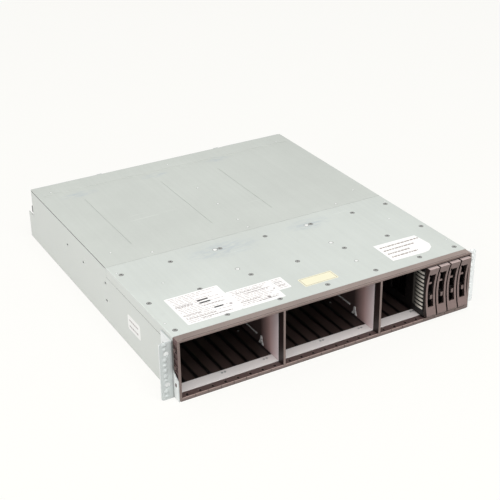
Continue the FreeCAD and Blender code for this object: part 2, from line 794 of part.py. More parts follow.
def rib_outline(sketch, x, rear):
    """A guide rib seen from above: a narrow lead, a flare and the full width to the rear."""
    lead = "rib_lead_width / 2"
    full = "rib_width / 2"
    outline(sketch, [
        (f"{x} - {lead}", "sill_depth"), (f"{x} + {lead}", "sill_depth"),
        (f"{x} + {lead}", "rib_flare_start"), (f"{x} + {full}", "rib_flare_end"),
        (f"{x} + {full}", rear), (f"{x} - {full}", rear),
        (f"{x} - {full}", "rib_flare_end"), (f"{x} - {lead}", "rib_flare_start")])


def make_guide(label, group, upper):
    """Plastic guide plate across one group of bays, with a rib between each two bays."""
    body = new_body(label, f"({group}) * group_pitch")
    half = "(group_half + guide_margin)"
    rear = "guide_rear"
    if upper:
        block(body, "XY", "roof_under", f"-{half}", half, "0", rear, "guide_plate", -1)
        level, sense = "upper_guide_under", -1
    else:
        block(body, "XY", "base_sheet", f"-{half}", half, "sill_depth", rear, "bezel_shelf - base_sheet")
        level, sense = "bezel_shelf", 1
    ribs = new_sketch(body, "XY", level)
    rib_outline(ribs, "-group_half + bay_pitch", rear)
    rib = extrude(body, "Pad", ribs, "rib_height", sense)
    repeat(body, rib, "X", "bay_pitch", "bays_per_group - 1")
    return body


def make_midplane_board():
    """Circuit board across the shell behind the bays, with air slots beside the drive plugs."""
    body = new_body("midplane_board")
    bottom = "bezel_shelf"
    block(body, "XZ", "board_front", "-inner_half + board_margin", "inner_half - board_margin", bottom,
          f"{bottom} + board_height", "board_thickness")
    for group in GROUPS.values():
        first = f"{bay_x(group, 1)} + bay_pitch / 2"
        low = f"{bottom} + (board_height - slot_height) / 2"
        slot = block(body, "XZ", "board_front", f"{first} - slot_width / 2", f"{first} + slot_width / 2",
                     low, f"{low} + slot_height", "board_thickness", 1, "Pocket")
        repeat(body, slot, "X", "bay_pitch", "bays_per_group - 1")
    return body


def make_drive_connectors():
    """One upright plug for each bay on the front of the board."""
    body = new_body("drive_connectors")
    for group in GROUPS.values():
        first = bay_x(group, 1)
        plug = block(body, "XZ", "board_front", f"{first} - drive_plug_width / 2",
                     f"{first} + drive_plug_width / 2", "drive_plug_level",
                     "drive_plug_level + drive_plug_height", "drive_plug_reach", -1)
        repeat(body, plug, "X", "bay_pitch", "bays_per_group")
    return body


def make_midplane_rear_connectors():
    """Plugs on the rear of the board for two canisters and two power supplies."""
    body = new_body("midplane_rear_connectors")
    places = [("0", "base_sheet + canister_height / 2"),
              ("0", "upper_canister_bottom + canister_height / 2"),
              ("-supply_x", "body_height / 2"), ("supply_x", "body_height / 2")]
    for x, level in places:
        block(body, "XZ", "board_rear", f"{x} - module_plug_width / 2", f"{x} + module_plug_width / 2",
              f"{level} - module_plug_height / 2", f"{level} + module_plug_height / 2",
              "module_front - board_rear - running_gap")
    return body


def make_midplane_stiffener():
    """Folded bracket that stands on the floor and carries the board."""
    body = new_body("midplane_stiffener")
    section = new_sketch(body, "YZ")
    outline(section, [
        ("board_rear", "base_sheet"), ("board_rear + stiffener_foot", "base_sheet"),
        ("board_rear + stiffener_foot", "base_sheet + divider_sheet"),
        ("board_rear + divider_sheet", "base_sheet + divider_sheet"),
        ("board_rear + divider_sheet", "stiffener_height"), ("board_rear", "stiffener_height")])
    extrude(body, "Pad", section, "2 * (inner_half - board_margin)", 0)
    return body


def make_partition(label, side):
    """Upright sheet between the canisters and one power supply."""
    body = new_body(label)
    near_face = f"({side}) * partition_inner"
    far_face = f"({side}) * partition_outer"
    block(body, "XY", "base_sheet", near_face, far_face, "module_front", "cover_depth",
          "roof_under - base_sheet")
    return body


def make_canister_shelf():
    """Level sheet that carries the upper canister, held between the two partitions."""
    body = new_body("canister_shelf")
    block(body, "XY", "shelf_under", "-partition_inner", "partition_inner", "module_front",
          "cover_depth", "shelf_sheet")
    return body


def make_fastener_group(label, places, facing, head="screw_head", height="screw_height"):
    """Low heads joined in one sub-part; each place is three formulas, and facing is a direction."""
    heads = []
    for x, y, z in places:
        prism = document.addObject("Part::Prism", label + "_head")
        prism.Polygon = HEAD_SIDES
        prism.setExpression("Circumradius", formula(f"{head} / 2"))
        prism.setExpression("Height", formula(height))
        prism.Placement = FreeCAD.Placement(Vector(), FreeCAD.Rotation(Vector(0, 0, 1), Vector(*facing)))
        prism.setExpression("Placement.Base.x", formula(x))
        prism.setExpression("Placement.Base.y", formula(f"shift_y + {y}"))
        prism.setExpression("Placement.Base.z", formula(z))
        heads.append(prism)
    group = document.addObject("Part::Compound", label)
    group.Label = label
    group.Links = heads
    nodes.append(group)
    return group


def rivet_places():
    """Pairs of rivets on the sill, and one screw on the guide at the right end of some groups."""
    places = []
    for group, offset in RIVET_PAIRS:
        for step in (-0.5, 0.5):
            x = f"({group}) * group_pitch + ({offset}) + ({step}) * rivet_pitch"
            places.append((x, "sill_depth - rivet_setback", "bezel_shelf"))
    for group in GUIDE_SCREW_GROUPS:
        places.append((bay_x(group, "bays_per_group"), GUIDE_SCREW_DEPTH, "bezel_shelf"))
    return places


# ---------------------------------------------------------------- fillers in the drive bays

def make_filler_body(number, x):
    """Hollow drive-sized frame on two runners, with a recessed louvred face and a lever lug."""
    body = new_body(f"filler_{number}_body", x)
    half = "filler_width / 2"
    run = "runner_width / 2"
    shoulder_low = "(filler_bottom + runner_height)"
    shoulder_high = "(filler_top - runner_height)"
    section = new_sketch(body, "XZ", "filler_front")
    outline(section, [
        (f"-{run}", "filler_bottom"), (run, "filler_bottom"), (run, shoulder_low),
        (half, shoulder_low), (half, shoulder_high), (run, shoulder_high), (run, "filler_top"),
        (f"-{run}", "filler_top"), (f"-{run}", shoulder_high), (f"-{half}", shoulder_high),
        (f"-{half}", shoulder_low), (f"-{run}", shoulder_low)])
    extrude(body, "Pad", section, "filler_length", 1)
    inner = f"({half} - filler_wall)"
    floor = "(filler_bottom + filler_floor)"
    ceiling = "(filler_top - filler_floor)"
    block(body, "XZ", "filler_front", f"-{inner}", inner, floor, ceiling, "face_recess", 1, "Pocket")
    block(body, "XZ", "filler_front + face_recess + filler_wall", f"-{inner}", inner, floor, ceiling,
          "filler_length", 1, "Pocket")
    windows = block(body, "YZ", "0", "filler_front + side_window_start",
                    "filler_front + side_window_start + side_window_length", f"{floor} + side_window_margin",
                    f"{ceiling} - side_window_margin", f"filler_width + {OVERCUT}", 0, "Pocket")
    repeat(body, windows, "Y", "side_window_pitch", "2")
    louvre = block(body, "XZ", "filler_front + face_recess", "-louvre_pitch - louvre_width / 2",
                   "-louvre_pitch + louvre_width / 2", floor, ceiling, "2 * louvre_width", -1)
    repeat(body, louvre, "X", "louvre_pitch", "3")
    add_lever_lug(body, floor)
    add_latch_bars(body, inner)
    return body


def add_lever_lug(body, floor):
    """The nose between the lever's rails that its pins turn in."""
    top = "(pivot_level + pivot_lug_radius)"
    under = "(pivot_level - pivot_lug_radius)"
    nose = new_sketch(body, "YZ")
    outline(nose, [
        ("-pivot_setback", under), ("filler_front", under), ("filler_front", floor),
        ("filler_front + pivot_lug_root", floor), ("filler_front + pivot_lug_top", top),
        ("-pivot_setback", top)])
    extrude(body, "Pad", nose, "2 * (slot_half - running_gap)", 0)
    pin(body, "YZ", "0", "-pivot_setback", "pivot_level", "2 * pivot_lug_radius",
        "2 * (slot_half - running_gap)", 0)
    for side in (LEFT, RIGHT):
        pin(body, "YZ", f"({side}) * (slot_half - running_gap)", "-pivot_setback", "pivot_level",
            "pivot_pin_diameter + 2 * running_gap", "pivot_pin_length", -side, "Pocket")


def add_latch_bars(body, inner):
    """Two bars across the recess, above and below the latch."""
    for low in ("latch_level - running_gap - bar_thickness", "latch_level + latch_height + running_gap"):
        block(body, "XZ", "filler_front", f"-{inner}", inner, low, f"{low} + bar_thickness",
              "2 * bar_thickness", 1)


def lever_arc(level, radius):
    """The y of the lever's hollow face, or of a surface behind it, at one level."""
    middle = "(lever_bottom + lever_height / 2)"
    return f"lever_waist - lever_radius + sqrt(({radius}) ^ 2 - ({level} - {middle}) ^ 2)"


def make_lever(number, x):
    """Cam handle with a hollow front, an open window and pins in the filler's lug."""
    body = new_body(f"filler_{number}_lever", x)
    back = "-lever_back"
    profile = new_sketch(body, "YZ")
    outline(profile, [
        ("-lever_reach", "lever_bottom"), (f"{back} - lever_heel_chamfer", "lever_bottom"),
        (back, "lever_bottom + lever_heel_chamfer"), (back, "lever_top"),
        ("-lever_reach", "lever_top")], {4: "-lever_radius"})
    extrude(body, "Pad", profile, "lever_width", 0)
    round_edges(body, "lever_toe_round", lambda edge: lever_toe_edge(edge))
    cavity = new_sketch(body, "YZ")
    low = f"lever_bottom - {OVERCUT}"
    high = "(lever_top - lever_face)"
    inner_radius = "(lever_radius + lever_face)"
    outline(cavity, [
        (lever_arc(low, inner_radius), low), (f"{back} + {OVERCUT}", low),
        (f"{back} + {OVERCUT}", high), (lever_arc(high, inner_radius), high)], {3: f"-{inner_radius}"})
    extrude(body, "Pocket", cavity, "2 * slot_half", 0)
    block(body, "XZ", "0", "-slot_half", "slot_half", "lever_window_bottom", "lever_window_top",
          "lever_reach", -1, "Pocket")
    block(body, "XZ", "0", "-slot_half - lever_notch_width", "-slot_half + slot_overlap",
          "lever_window_top - lever_notch_height", "lever_window_top + lever_notch_width",
          "lever_reach", -1, "Pocket")
    block(body, "YZ", "-slot_half", "lever_waist - slot_overlap", "lever_waist - slot_overlap + stub_depth",
          "stub_bottom", "stub_bottom + stub_height", "slot_half + slot_overlap", 1)
    for side in (LEFT, RIGHT):
        pin(body, "YZ", f"({side}) * slot_half", "-pivot_setback", "pivot_level",
            "pivot_pin_diameter", "pivot_pin_length", -side)
    return body


def lever_toe_edge(edge):
    """Whether an edge is the lever's lower front corner, running along X."""
    box = edge.BoundBox
    reach = -value("lever_reach")
    bottom = value("lever_bottom")
    return near(box.YMin, reach) and near(box.YMax, reach) and near(box.ZMin, bottom) \
        and near(box.ZMax, bottom)


def make_latch(number, x):
    """Square release tab in the lever's window, with a head behind the filler's two bars."""
    body = new_body(f"filler_{number}_latch", x)
    right = "(slot_half - running_gap)"
    left = f"({right} - latch_width)"
    bars_rear = "(filler_front + 2 * bar_thickness + running_gap)"
    block(body, "XZ", "-latch_front", left, right, "latch_level", "latch_level + latch_height",
          f"latch_front + {bars_rear}")
    block(body, "XZ", bars_rear, left, right, "latch_level - bar_thickness",
          "latch_level + latch_height + bar_thickness", "latch_head")
    return body


def make_fingers(number, x):
    """Comb of bowed grounding springs on the filler's left side."""
    body = new_body(f"filler_{number}_fingers", x)
    wall = "-filler_width / 2"
    outer = f"({wall} - finger_sheet)"
    crest = f"({wall} - finger_bulge)"
    tip = "-finger_front"
    root = "finger_root"
    ramp = f"(({root} - {tip}) / 3)"
    block(body, "YZ", wall, root, f"{root} + comb_strip", "finger_level",
          "finger_level + (finger_count - 1) * finger_pitch + finger_height", "finger_sheet", LEFT)
    bow = new_sketch(body, "XY", "finger_level")
    outline(bow, [
        (outer, tip), (wall, tip), (f"{crest} + finger_sheet", f"{tip} + {ramp}"),
        (f"{crest} + finger_sheet", f"{root} - {ramp}"), (wall, root), (outer, root),
        (crest, f"{root} - {ramp}"), (crest, f"{tip} + {ramp}")])
    finger = extrude(body, "Pad", bow, "finger_height", 1)
    repeat(body, finger, "Z", "finger_pitch", "finger_count")
    return body


# ---------------------------------------------------------------- canisters at the rear

def make_canister_case(label, z):
    """Open tray with a face plate: port openings, an air row and the ejectors' hinge plates."""
    body = new_body(label, "0", "0", z)
    half = "canister_width / 2"
    block(body, "XZ", "module_front", f"-{half}", half, "0", "canister_height",
          "plate_inside - module_front")
    block(body, "XY", "canister_sheet", f"-{half} + canister_sheet", f"{half} - canister_sheet",
          f"module_front - {OVERCUT}", "plate_inside", "canister_height", 1, "Pocket")
    block(body, "XZ", "plate_inside", f"-{half}", half, "0", "canister_height", "face_plate")
    ports = new_sketch(body, "XZ", "module_face")
    for place in PORT_PLACES:
        x = f"({place}) * port_pitch"
        rectangle(ports, f"{x} - port_width / 2", f"{x} + port_width / 2", "port_bottom",
                  "port_bottom + port_height")
    extrude(body, "Pocket", ports, "face_plate", -1)
    first = "(-(vent_count - 1) / 2 * vent_pitch)"
    low = "(port_bottom + port_height + vent_gap)"
    vent = block(body, "XZ", "module_face", f"{first} - vent_width / 2", f"{first} + vent_width / 2",
                 low, f"{low} + vent_height", "face_plate", -1, "Pocket")
    repeat(body, vent, "X", "vent_pitch", "vent_count")
    standoffs = new_sketch(body, "XY", "canister_sheet")
    for x in (f"-{half} + standoff_inset", f"{half} - standoff_inset"):
        for y in ("module_front + standoff_setback", "plate_inside - standoff_setback"):
            hexagon(standoffs, x, y, "standoff_width")
    extrude(body, "Pad", standoffs, "pcb_standoff", 1)
    for side in (LEFT, RIGHT):
        add_hinge_plates(body, side)
    return body


def add_hinge_plates(body, side):
    """Two small plates on the face plate, above and below an ejector, drilled for its pins."""
    x = f"({side}) * ejector_x"
    reach = "(ejector_offset + ejector_boss / 2)"
    low = "ejector_level - running_gap - hinge_plate"
    high = "ejector_level + ejector_height + running_gap"
    for level in (low, high):
        block(body, "XY", level, f"{x} - ejector_boss / 2", f"{x} + ejector_boss / 2", "module_face",
              f"module_face + {reach}", "hinge_plate")
        pin(body, "XY", level, x, "ejector_y", "pivot_pin_diameter + 2 * running_gap",
            "hinge_plate", 1, "Pocket")


def make_canister_board(label, z):
    """Circuit board with port cages, a finned heat sink and the plug for the midplane."""
    body = new_body(label, "0", "0", z)
    half = "canister_width / 2 - canister_sheet - pcb_margin"
    block(body, "XY", "canister_sheet + pcb_standoff", f"-({half})", half, "module_front + pcb_setback",
          "plate_inside - pcb_margin", "pcb_thickness")
    cages = new_sketch(body, "XZ", "plate_inside - running_gap")
    for place in PORT_PLACES:
        x = f"({place}) * port_pitch"
        rectangle(cages, f"{x} - port_width / 2 - cage_wall", f"{x} + port_width / 2 + cage_wall",
                  "pcb_top", "port_bottom + port_height + cage_wall")
    extrude(body, "Pad", cages, "port_depth", -1)
    mouths = new_sketch(body, "XZ", "plate_inside - running_gap")
    for place in PORT_PLACES:
        x = f"({place}) * port_pitch"
        rectangle(mouths, f"{x} - port_width / 2", f"{x} + port_width / 2", "port_bottom",
                  "port_bottom + port_height")
    extrude(body, "Pocket", mouths, "port_depth - cage_end", -1)
    sink_front = "(module_front + sink_setback)"
    block(body, "XY", "pcb_top", "-sink_width / 2", "sink_width / 2", sink_front,
          f"{sink_front} + sink_depth", "sink_base")
    fin = block(body, "XY", "pcb_top + sink_base", "-sink_width / 2", "-sink_width / 2 + fin_thickness",
                sink_front, f"{sink_front} + sink_depth", "sink_height - sink_base")
    repeat(body, fin, "X", "(sink_width - fin_thickness) / (fin_count - 1)", "fin_count")
    block(body, "XY", "pcb_top", "-module_plug_width / 2", "module_plug_width / 2",
          "module_front + running_gap", "module_front + module_plug_length",
          "canister_height / 2 + module_plug_height / 2 - pcb_top")
    return body


def make_ejector(label, side, z):
    """Cam bar hinged at one end of the face plate, with a thumb rest at its free end."""
    body = new_body(label, f"({side}) * ejector_x", "ejector_y", f"{z} + ejector_level")
    inward = -side
    half = "ejector_thickness / 2"
    plan = new_sketch(body, "XY")
    end = f"({inward}) * ejector_length"
    outline(plan, [
        ("0", f"-{half}"), (end, f"-{half}"), (end, f"{half} + thumb_rise"),
        (f"({inward}) * (ejector_length - thumb_length)", f"{half} + thumb_rise"),
        (f"({inward}) * (ejector_length - thumb_length - thumb_slope)", half), ("0", half)])
    extrude(body, "Pad", plan, "ejector_height", 1)
    pin(body, "XY", "0", "0", "0", "ejector_boss", "ejector_height")
    pin(body, "XY", "-hinge_plate", "0", "0", "pivot_pin_diameter", "ejector_height + 2 * hinge_plate")
    return body


# ---------------------------------------------------------------- power supplies at the rear

def make_supply_case(label, x):
    """Sheet housing with a grilled fan bore, a power inlet, a tab slot and bail hinges."""
    body = new_body(label, x, "0", "supply_bottom")
    half = "supply_width / 2"
    block(body, "XZ", "module_front", f"-{half}", half, "0", "supply_height",
          "plate_inside - module_front")
    block(body, "XZ", f"module_front - {OVERCUT}", f"-{half} + canister_sheet", f"{half} - canister_sheet",
          "canister_sheet", "supply_height - canister_sheet",
          f"fan_floor - fan_plate - module_front + {OVERCUT}", 1, "Pocket")
    pin(body, "XZ", "plate_inside", "fan_offset", "fan_level", "fan_bore", "fan_bore_depth", -1,
        "Pocket")
    pin(body, "XZ", "fan_floor", "fan_offset", "fan_level", "spindle_diameter",
        "running_gap + fan_depth + spindle_tip")
    block(body, "XZ", "plate_inside", f"-{half}", half, "0", "supply_height", "face_plate")
    add_fan_grille(body)
    block(body, "XZ", "module_face", "inlet_offset - inlet_width / 2", "inlet_offset + inlet_width / 2",
          "inlet_level - inlet_height / 2", "inlet_level + inlet_height / 2", "inlet_depth", -1,
          "Pocket")
    contacts = new_sketch(body, "XZ", "module_face - inlet_depth")
    for across, up in INLET_PINS:
        rectangle(contacts, f"inlet_offset + ({across}) - blade_pin_width / 2",
                  f"inlet_offset + ({across}) + blade_pin_width / 2",
                  f"inlet_level + ({up}) - blade_pin_height / 2",
                  f"inlet_level + ({up}) + blade_pin_height / 2")
    extrude(body, "Pad", contacts, "inlet_depth - blade_pin_recess", 1)
    block(body, "XZ", "module_face", f"-{half} + tab_inset - running_gap",
          f"-{half} + tab_inset + tab_width + tab_travel + running_gap", "tab_level - running_gap",
          "tab_level + tab_height + running_gap", "tab_slot_depth", -1, "Pocket")
    add_bail_hinges(body)
    return body


def add_fan_grille(body):
    """Curved slots through the face plate over the fan, in three rings."""
    slots = new_sketch(body, "XZ", "module_face", "fan_offset", "fan_level")
    for inner, outer in GRILLE_RINGS:
        corners = []
        for radius, side in ((inner, -1), (outer, -1), (outer, 1), (inner, 1)):
            corners.append((f"{radius} * cos({GRILLE_SPREAD}deg)",
                            f"{side} * {radius} * sin({GRILLE_SPREAD}deg)"))
        outline(slots, corners, {1: outer, 3: f"-{inner}"})
    sector = extrude(body, "Pocket", slots, "face_plate", -1)
    ring_of(body, sector, (slots, ["N_Axis"]), "grille_slots")


def add_bail_hinges(body):
    """Two drilled plates on the face, one outside each leg of the bail."""
    for side in (LEFT, RIGHT):
        inside = f"bail_offset + ({side}) * (bail_width / 2 + running_gap)"
        block(body, "YZ", inside, "module_face", "bail_y + bail_rod / 2", "bail_level",
              "bail_level + bail_rod", "hinge_plate", side)
        pin(body, "YZ", inside, "bail_y", "bail_pivot", "pivot_pin_diameter + 2 * running_gap",
            "hinge_plate", side, "Pocket")


def make_bail(label, x):
    """U-shaped pull handle that hinges down from the power supply's face."""
    body = new_body(label, f"{x} + bail_offset", "bail_y", "supply_bottom + bail_pivot")
    half = "bail_width / 2"
    bow = new_sketch(body, "XZ", "-bail_rod / 2")
    top = "bail_length - bail_rod / 2"
    outline(bow, [
        (f"-{half}", "0"), (f"-{half} + bail_rod", "0"), (f"-{half} + bail_rod", f"{top} - bail_rod"),
        (f"{half} - bail_rod", f"{top} - bail_rod"), (f"{half} - bail_rod", "0"), (half, "0"),
        (half, top), (f"-{half}", top)])
    extrude(body, "Pad", bow, "bail_rod", 1)
    round_edges(body, "bail_rod / 2 - bail_round_gap", bail_corner_edge)
    for side in (LEFT, RIGHT):
        pin(body, "YZ", f"({side}) * {half}", "0", "0", "bail_rod", "bail_rod", -side)
        pin(body, "YZ", f"({side}) * {half}", "0", "0", "pivot_pin_diameter", "hinge_plate", side)
    return body


def bail_corner_edge(edge):
    """Whether an edge is one of the bail's two outer upper corners, running along Y."""
    half = value("bail_width / 2")
    top = value("bail_length - bail_rod / 2")
    return deep_at(edge, half, top) or deep_at(edge, -half, top)


def make_tab(label, x):
    """Thumb tab that slides in a slot of the power supply's face."""
    body = new_body(label, f"{x} - supply_width / 2 + tab_inset", "0", "supply_bottom + tab_level")
    block(body, "XZ", "module_face - tab_slot_depth + running_gap", "0", "tab_width", "0", "tab_height",
          "tab_slot_depth - running_gap + tab_reach")
    first = "(module_face + tab_reach - grip_width - (grip_count - 1) * grip_pitch - grip_width)"
    grip = block(body, "XY", "tab_height", "0", "tab_width", first, f"{first} + grip_width",
                 "grip_depth", -1, "Pocket")
    repeat(body, grip, "Y", "grip_pitch", "grip_count")
    return body


def make_fan_rotor(label, x):
    """Fan hub with slanted blades, turning on the spindle in the power supply."""
    body = new_body(label, f"{x} + fan_offset", "fan_floor + running_gap", "supply_bottom + fan_level")
    pin(body, "XZ", "0", "0", "0", "fan_hub", "fan_depth")
    blade = new_sketch(body, "YZ", "fan_hub / 2 - blade_root")
    outline(blade, [
        ("blade_margin", "-blade_sweep"), ("blade_margin + blade_thickness", "-blade_sweep"),
        ("fan_depth - blade_margin", "blade_sweep"),
        ("fan_depth - blade_margin - blade_thickness", "blade_sweep")])
    wing = extrude(body, "Pad", blade, "fan_bore / 2 - fan_tip_gap - fan_hub / 2 + blade_root", 1)
    ring_of(body, wing, (origin_feature(body, "Y_Axis"), [""]), "fan_blade_count")
    pin(body, "XZ", "0", "0", "0", "spindle_diameter + 2 * running_gap", "fan_depth", 1, "Pocket")
    return body


# ---------------------------------------------------------------- the whole enclosure

def make_shell():
    make_base_tray()
    make_front_top_panel()
    make_rear_top_cover()
    make_rack_ear("left_rack_ear", LEFT)
    make_rack_ear("right_rack_ear", RIGHT)
    make_bezel()


def make_inside():
    make_front_sill()
    make_divider("divider_wall_left", LEFT)
    make_divider("divider_wall_right", RIGHT)
    make_divider_clips()
    for name, group in GROUPS.items():
        make_guide(f"lower_guide_{name}", group, False)
        make_guide(f"upper_guide_{name}", group, True)
    make_midplane_board()
    make_drive_connectors()
    make_midplane_rear_connectors()
    make_midplane_stiffener()
    make_partition("psu_partition_left", LEFT)
    make_partition("psu_partition_right", RIGHT)
    make_canister_shelf()


def make_fasteners():
    cover_places = [(column, row, "body_height") for column in screw_columns() for row in ROWS_OF_SCREWS]
    make_fastener_group("cover_screws", cover_places, (0, 0, 1))
    make_fastener_group("sill_rivets", rivet_places(), (0, 0, 1), "rivet_head", "rivet_height")
    board_places = [(f"({group}) * group_pitch", "board_front", level) for group in GROUPS.values()
                    for level in ("bezel_shelf + board_screw_inset",
                                  "bezel_shelf + board_height - board_screw_inset")]
    make_fastener_group("midplane_screws", board_places, (0, -1, 0))
    for name, side in (("left", LEFT), ("right", RIGHT)):
        skin = f"({side}) * (half_width + ear_sheet)"
        ear_places = [(skin, "ear_return - ear_screw_setback", f"ear_lift + ear_height * {share}")
                      for share in EAR_SCREW_SHARES]
        make_fastener_group(f"{name}_ear_screws", ear_places, (side, 0, 0))


def make_fillers():
    for bay in FILLED_BAYS:
        number = 2 * int(value("bays_per_group")) + bay
        x = bay_x(GROUPS["right"], bay)
        make_filler_body(number, x)
        make_fingers(number, x)
        make_lever(number, x)
        make_latch(number, x)


def make_rear_modules():
    for name, z in (("lower", "base_sheet + module_gap"), ("upper", "upper_canister_bottom")):
        make_canister_case(f"canister_{name}_case", z)
        make_canister_board(f"canister_{name}_board", z)
        make_ejector(f"canister_{name}_ejector_left", LEFT, z)
        make_ejector(f"canister_{name}_ejector_right", RIGHT, z)
    for name, x in (("left", "-supply_x"), ("right", "supply_x")):
        make_supply_case(f"psu_{name}_case", x)
        make_fan_rotor(f"psu_{name}_fan_rotor", x)
        make_bail(f"psu_{name}_bail", x)
        make_tab(f"psu_{name}_tab", x)


def check_document():
    """Stop if an object failed, a pocket cut nothing or a sub-part is no valid solid."""
    for item in document.Objects:
        if "Invalid" in item.State or "Error" in item.State:
            raise RuntimeError(f"{item.Name} failed: {item.State}")
        if item.TypeId == "PartDesign::Pocket":
            before = item.BaseFeature.Shape.Volume
            if item.Shape.Volume > before - 1e-3:
                raise RuntimeError(f"{item.Name} cut nothing")
    for body in nodes:
        if body.Shape.isNull() or not body.Shape.isValid() or not body.Shape.Solids:
            raise RuntimeError(f"{body.Label} has no valid solid")


def export_parts():
    os.makedirs("parts", exist_ok=True)
    for body in nodes:
        body.Shape.exportStep(f"parts/{body.Label}.step")


fill_sheets()
make_shell()
make_inside()
make_fasteners()
make_fillers()
make_rear_modules()
document.recompute()
check_document()
export_parts()
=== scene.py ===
import json
import math
import random

import bmesh
import bpy
from mathutils import Matrix, Vector


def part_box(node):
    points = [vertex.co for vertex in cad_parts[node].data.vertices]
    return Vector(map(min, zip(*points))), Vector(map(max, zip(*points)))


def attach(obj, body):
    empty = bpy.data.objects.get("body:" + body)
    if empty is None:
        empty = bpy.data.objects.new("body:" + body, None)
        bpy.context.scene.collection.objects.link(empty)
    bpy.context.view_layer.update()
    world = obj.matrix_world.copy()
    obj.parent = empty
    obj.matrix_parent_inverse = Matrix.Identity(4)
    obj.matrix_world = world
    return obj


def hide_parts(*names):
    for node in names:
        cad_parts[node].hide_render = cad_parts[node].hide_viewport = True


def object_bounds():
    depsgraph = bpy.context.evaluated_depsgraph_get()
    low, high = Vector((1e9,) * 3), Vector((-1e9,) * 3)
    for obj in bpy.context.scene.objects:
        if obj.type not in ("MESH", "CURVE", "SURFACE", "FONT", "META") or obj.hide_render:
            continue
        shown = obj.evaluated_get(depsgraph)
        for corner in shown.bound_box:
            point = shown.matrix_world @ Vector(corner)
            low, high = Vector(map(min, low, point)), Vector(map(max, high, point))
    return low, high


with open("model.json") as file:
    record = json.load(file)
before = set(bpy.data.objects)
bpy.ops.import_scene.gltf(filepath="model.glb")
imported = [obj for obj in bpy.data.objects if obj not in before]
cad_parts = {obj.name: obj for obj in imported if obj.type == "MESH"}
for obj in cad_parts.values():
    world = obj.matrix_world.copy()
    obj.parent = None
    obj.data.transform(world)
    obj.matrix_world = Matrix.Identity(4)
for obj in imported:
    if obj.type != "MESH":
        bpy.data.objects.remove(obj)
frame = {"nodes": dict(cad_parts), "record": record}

# The dressed disk shelf enclosure: finishes for every CAD piece, the labels, the pressed marks of the
# sheet metal, the screw heads, the dark seam strips of painted shadow, the lamps, inlets, grips and
# board parts of the rear modules, and the studio round them.
# Metres, in the row's frame: X to the right seen from the front, Y to the rear, Z up.

MM = 0.001
nodes = frame["nodes"]
cad_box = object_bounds()


# ---------------------------------------------------------------- places, all read from the frame

def place(node):
    """Lowest corner, highest corner and centre of a CAD node."""
    low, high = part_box(node)
    return low, high, (low + high) / 2


TRAY_LOW, TRAY_HIGH, TRAY_MIDDLE = place("base_tray")
PANEL_LOW, PANEL_HIGH = place("front_top_panel")[:2]
BEZEL_LOW = place("front_bezel")[0]
METAL_FRONT = PANEL_LOW.y
SEAM = PANEL_HIGH.y
TOP = PANEL_HIGH.z
LEFT_WALL = TRAY_LOW.x
RIGHT_WALL = TRAY_HIGH.x
CARRIER_PITCH = place("filler_22_body")[2].x - place("filler_21_body")[2].x
RIB_WIDTH = 3.8 * MM
INLET_DEPTH = 18.0 * MM
SKIN = 0.06 * MM


# ---------------------------------------------------------------- material nodes

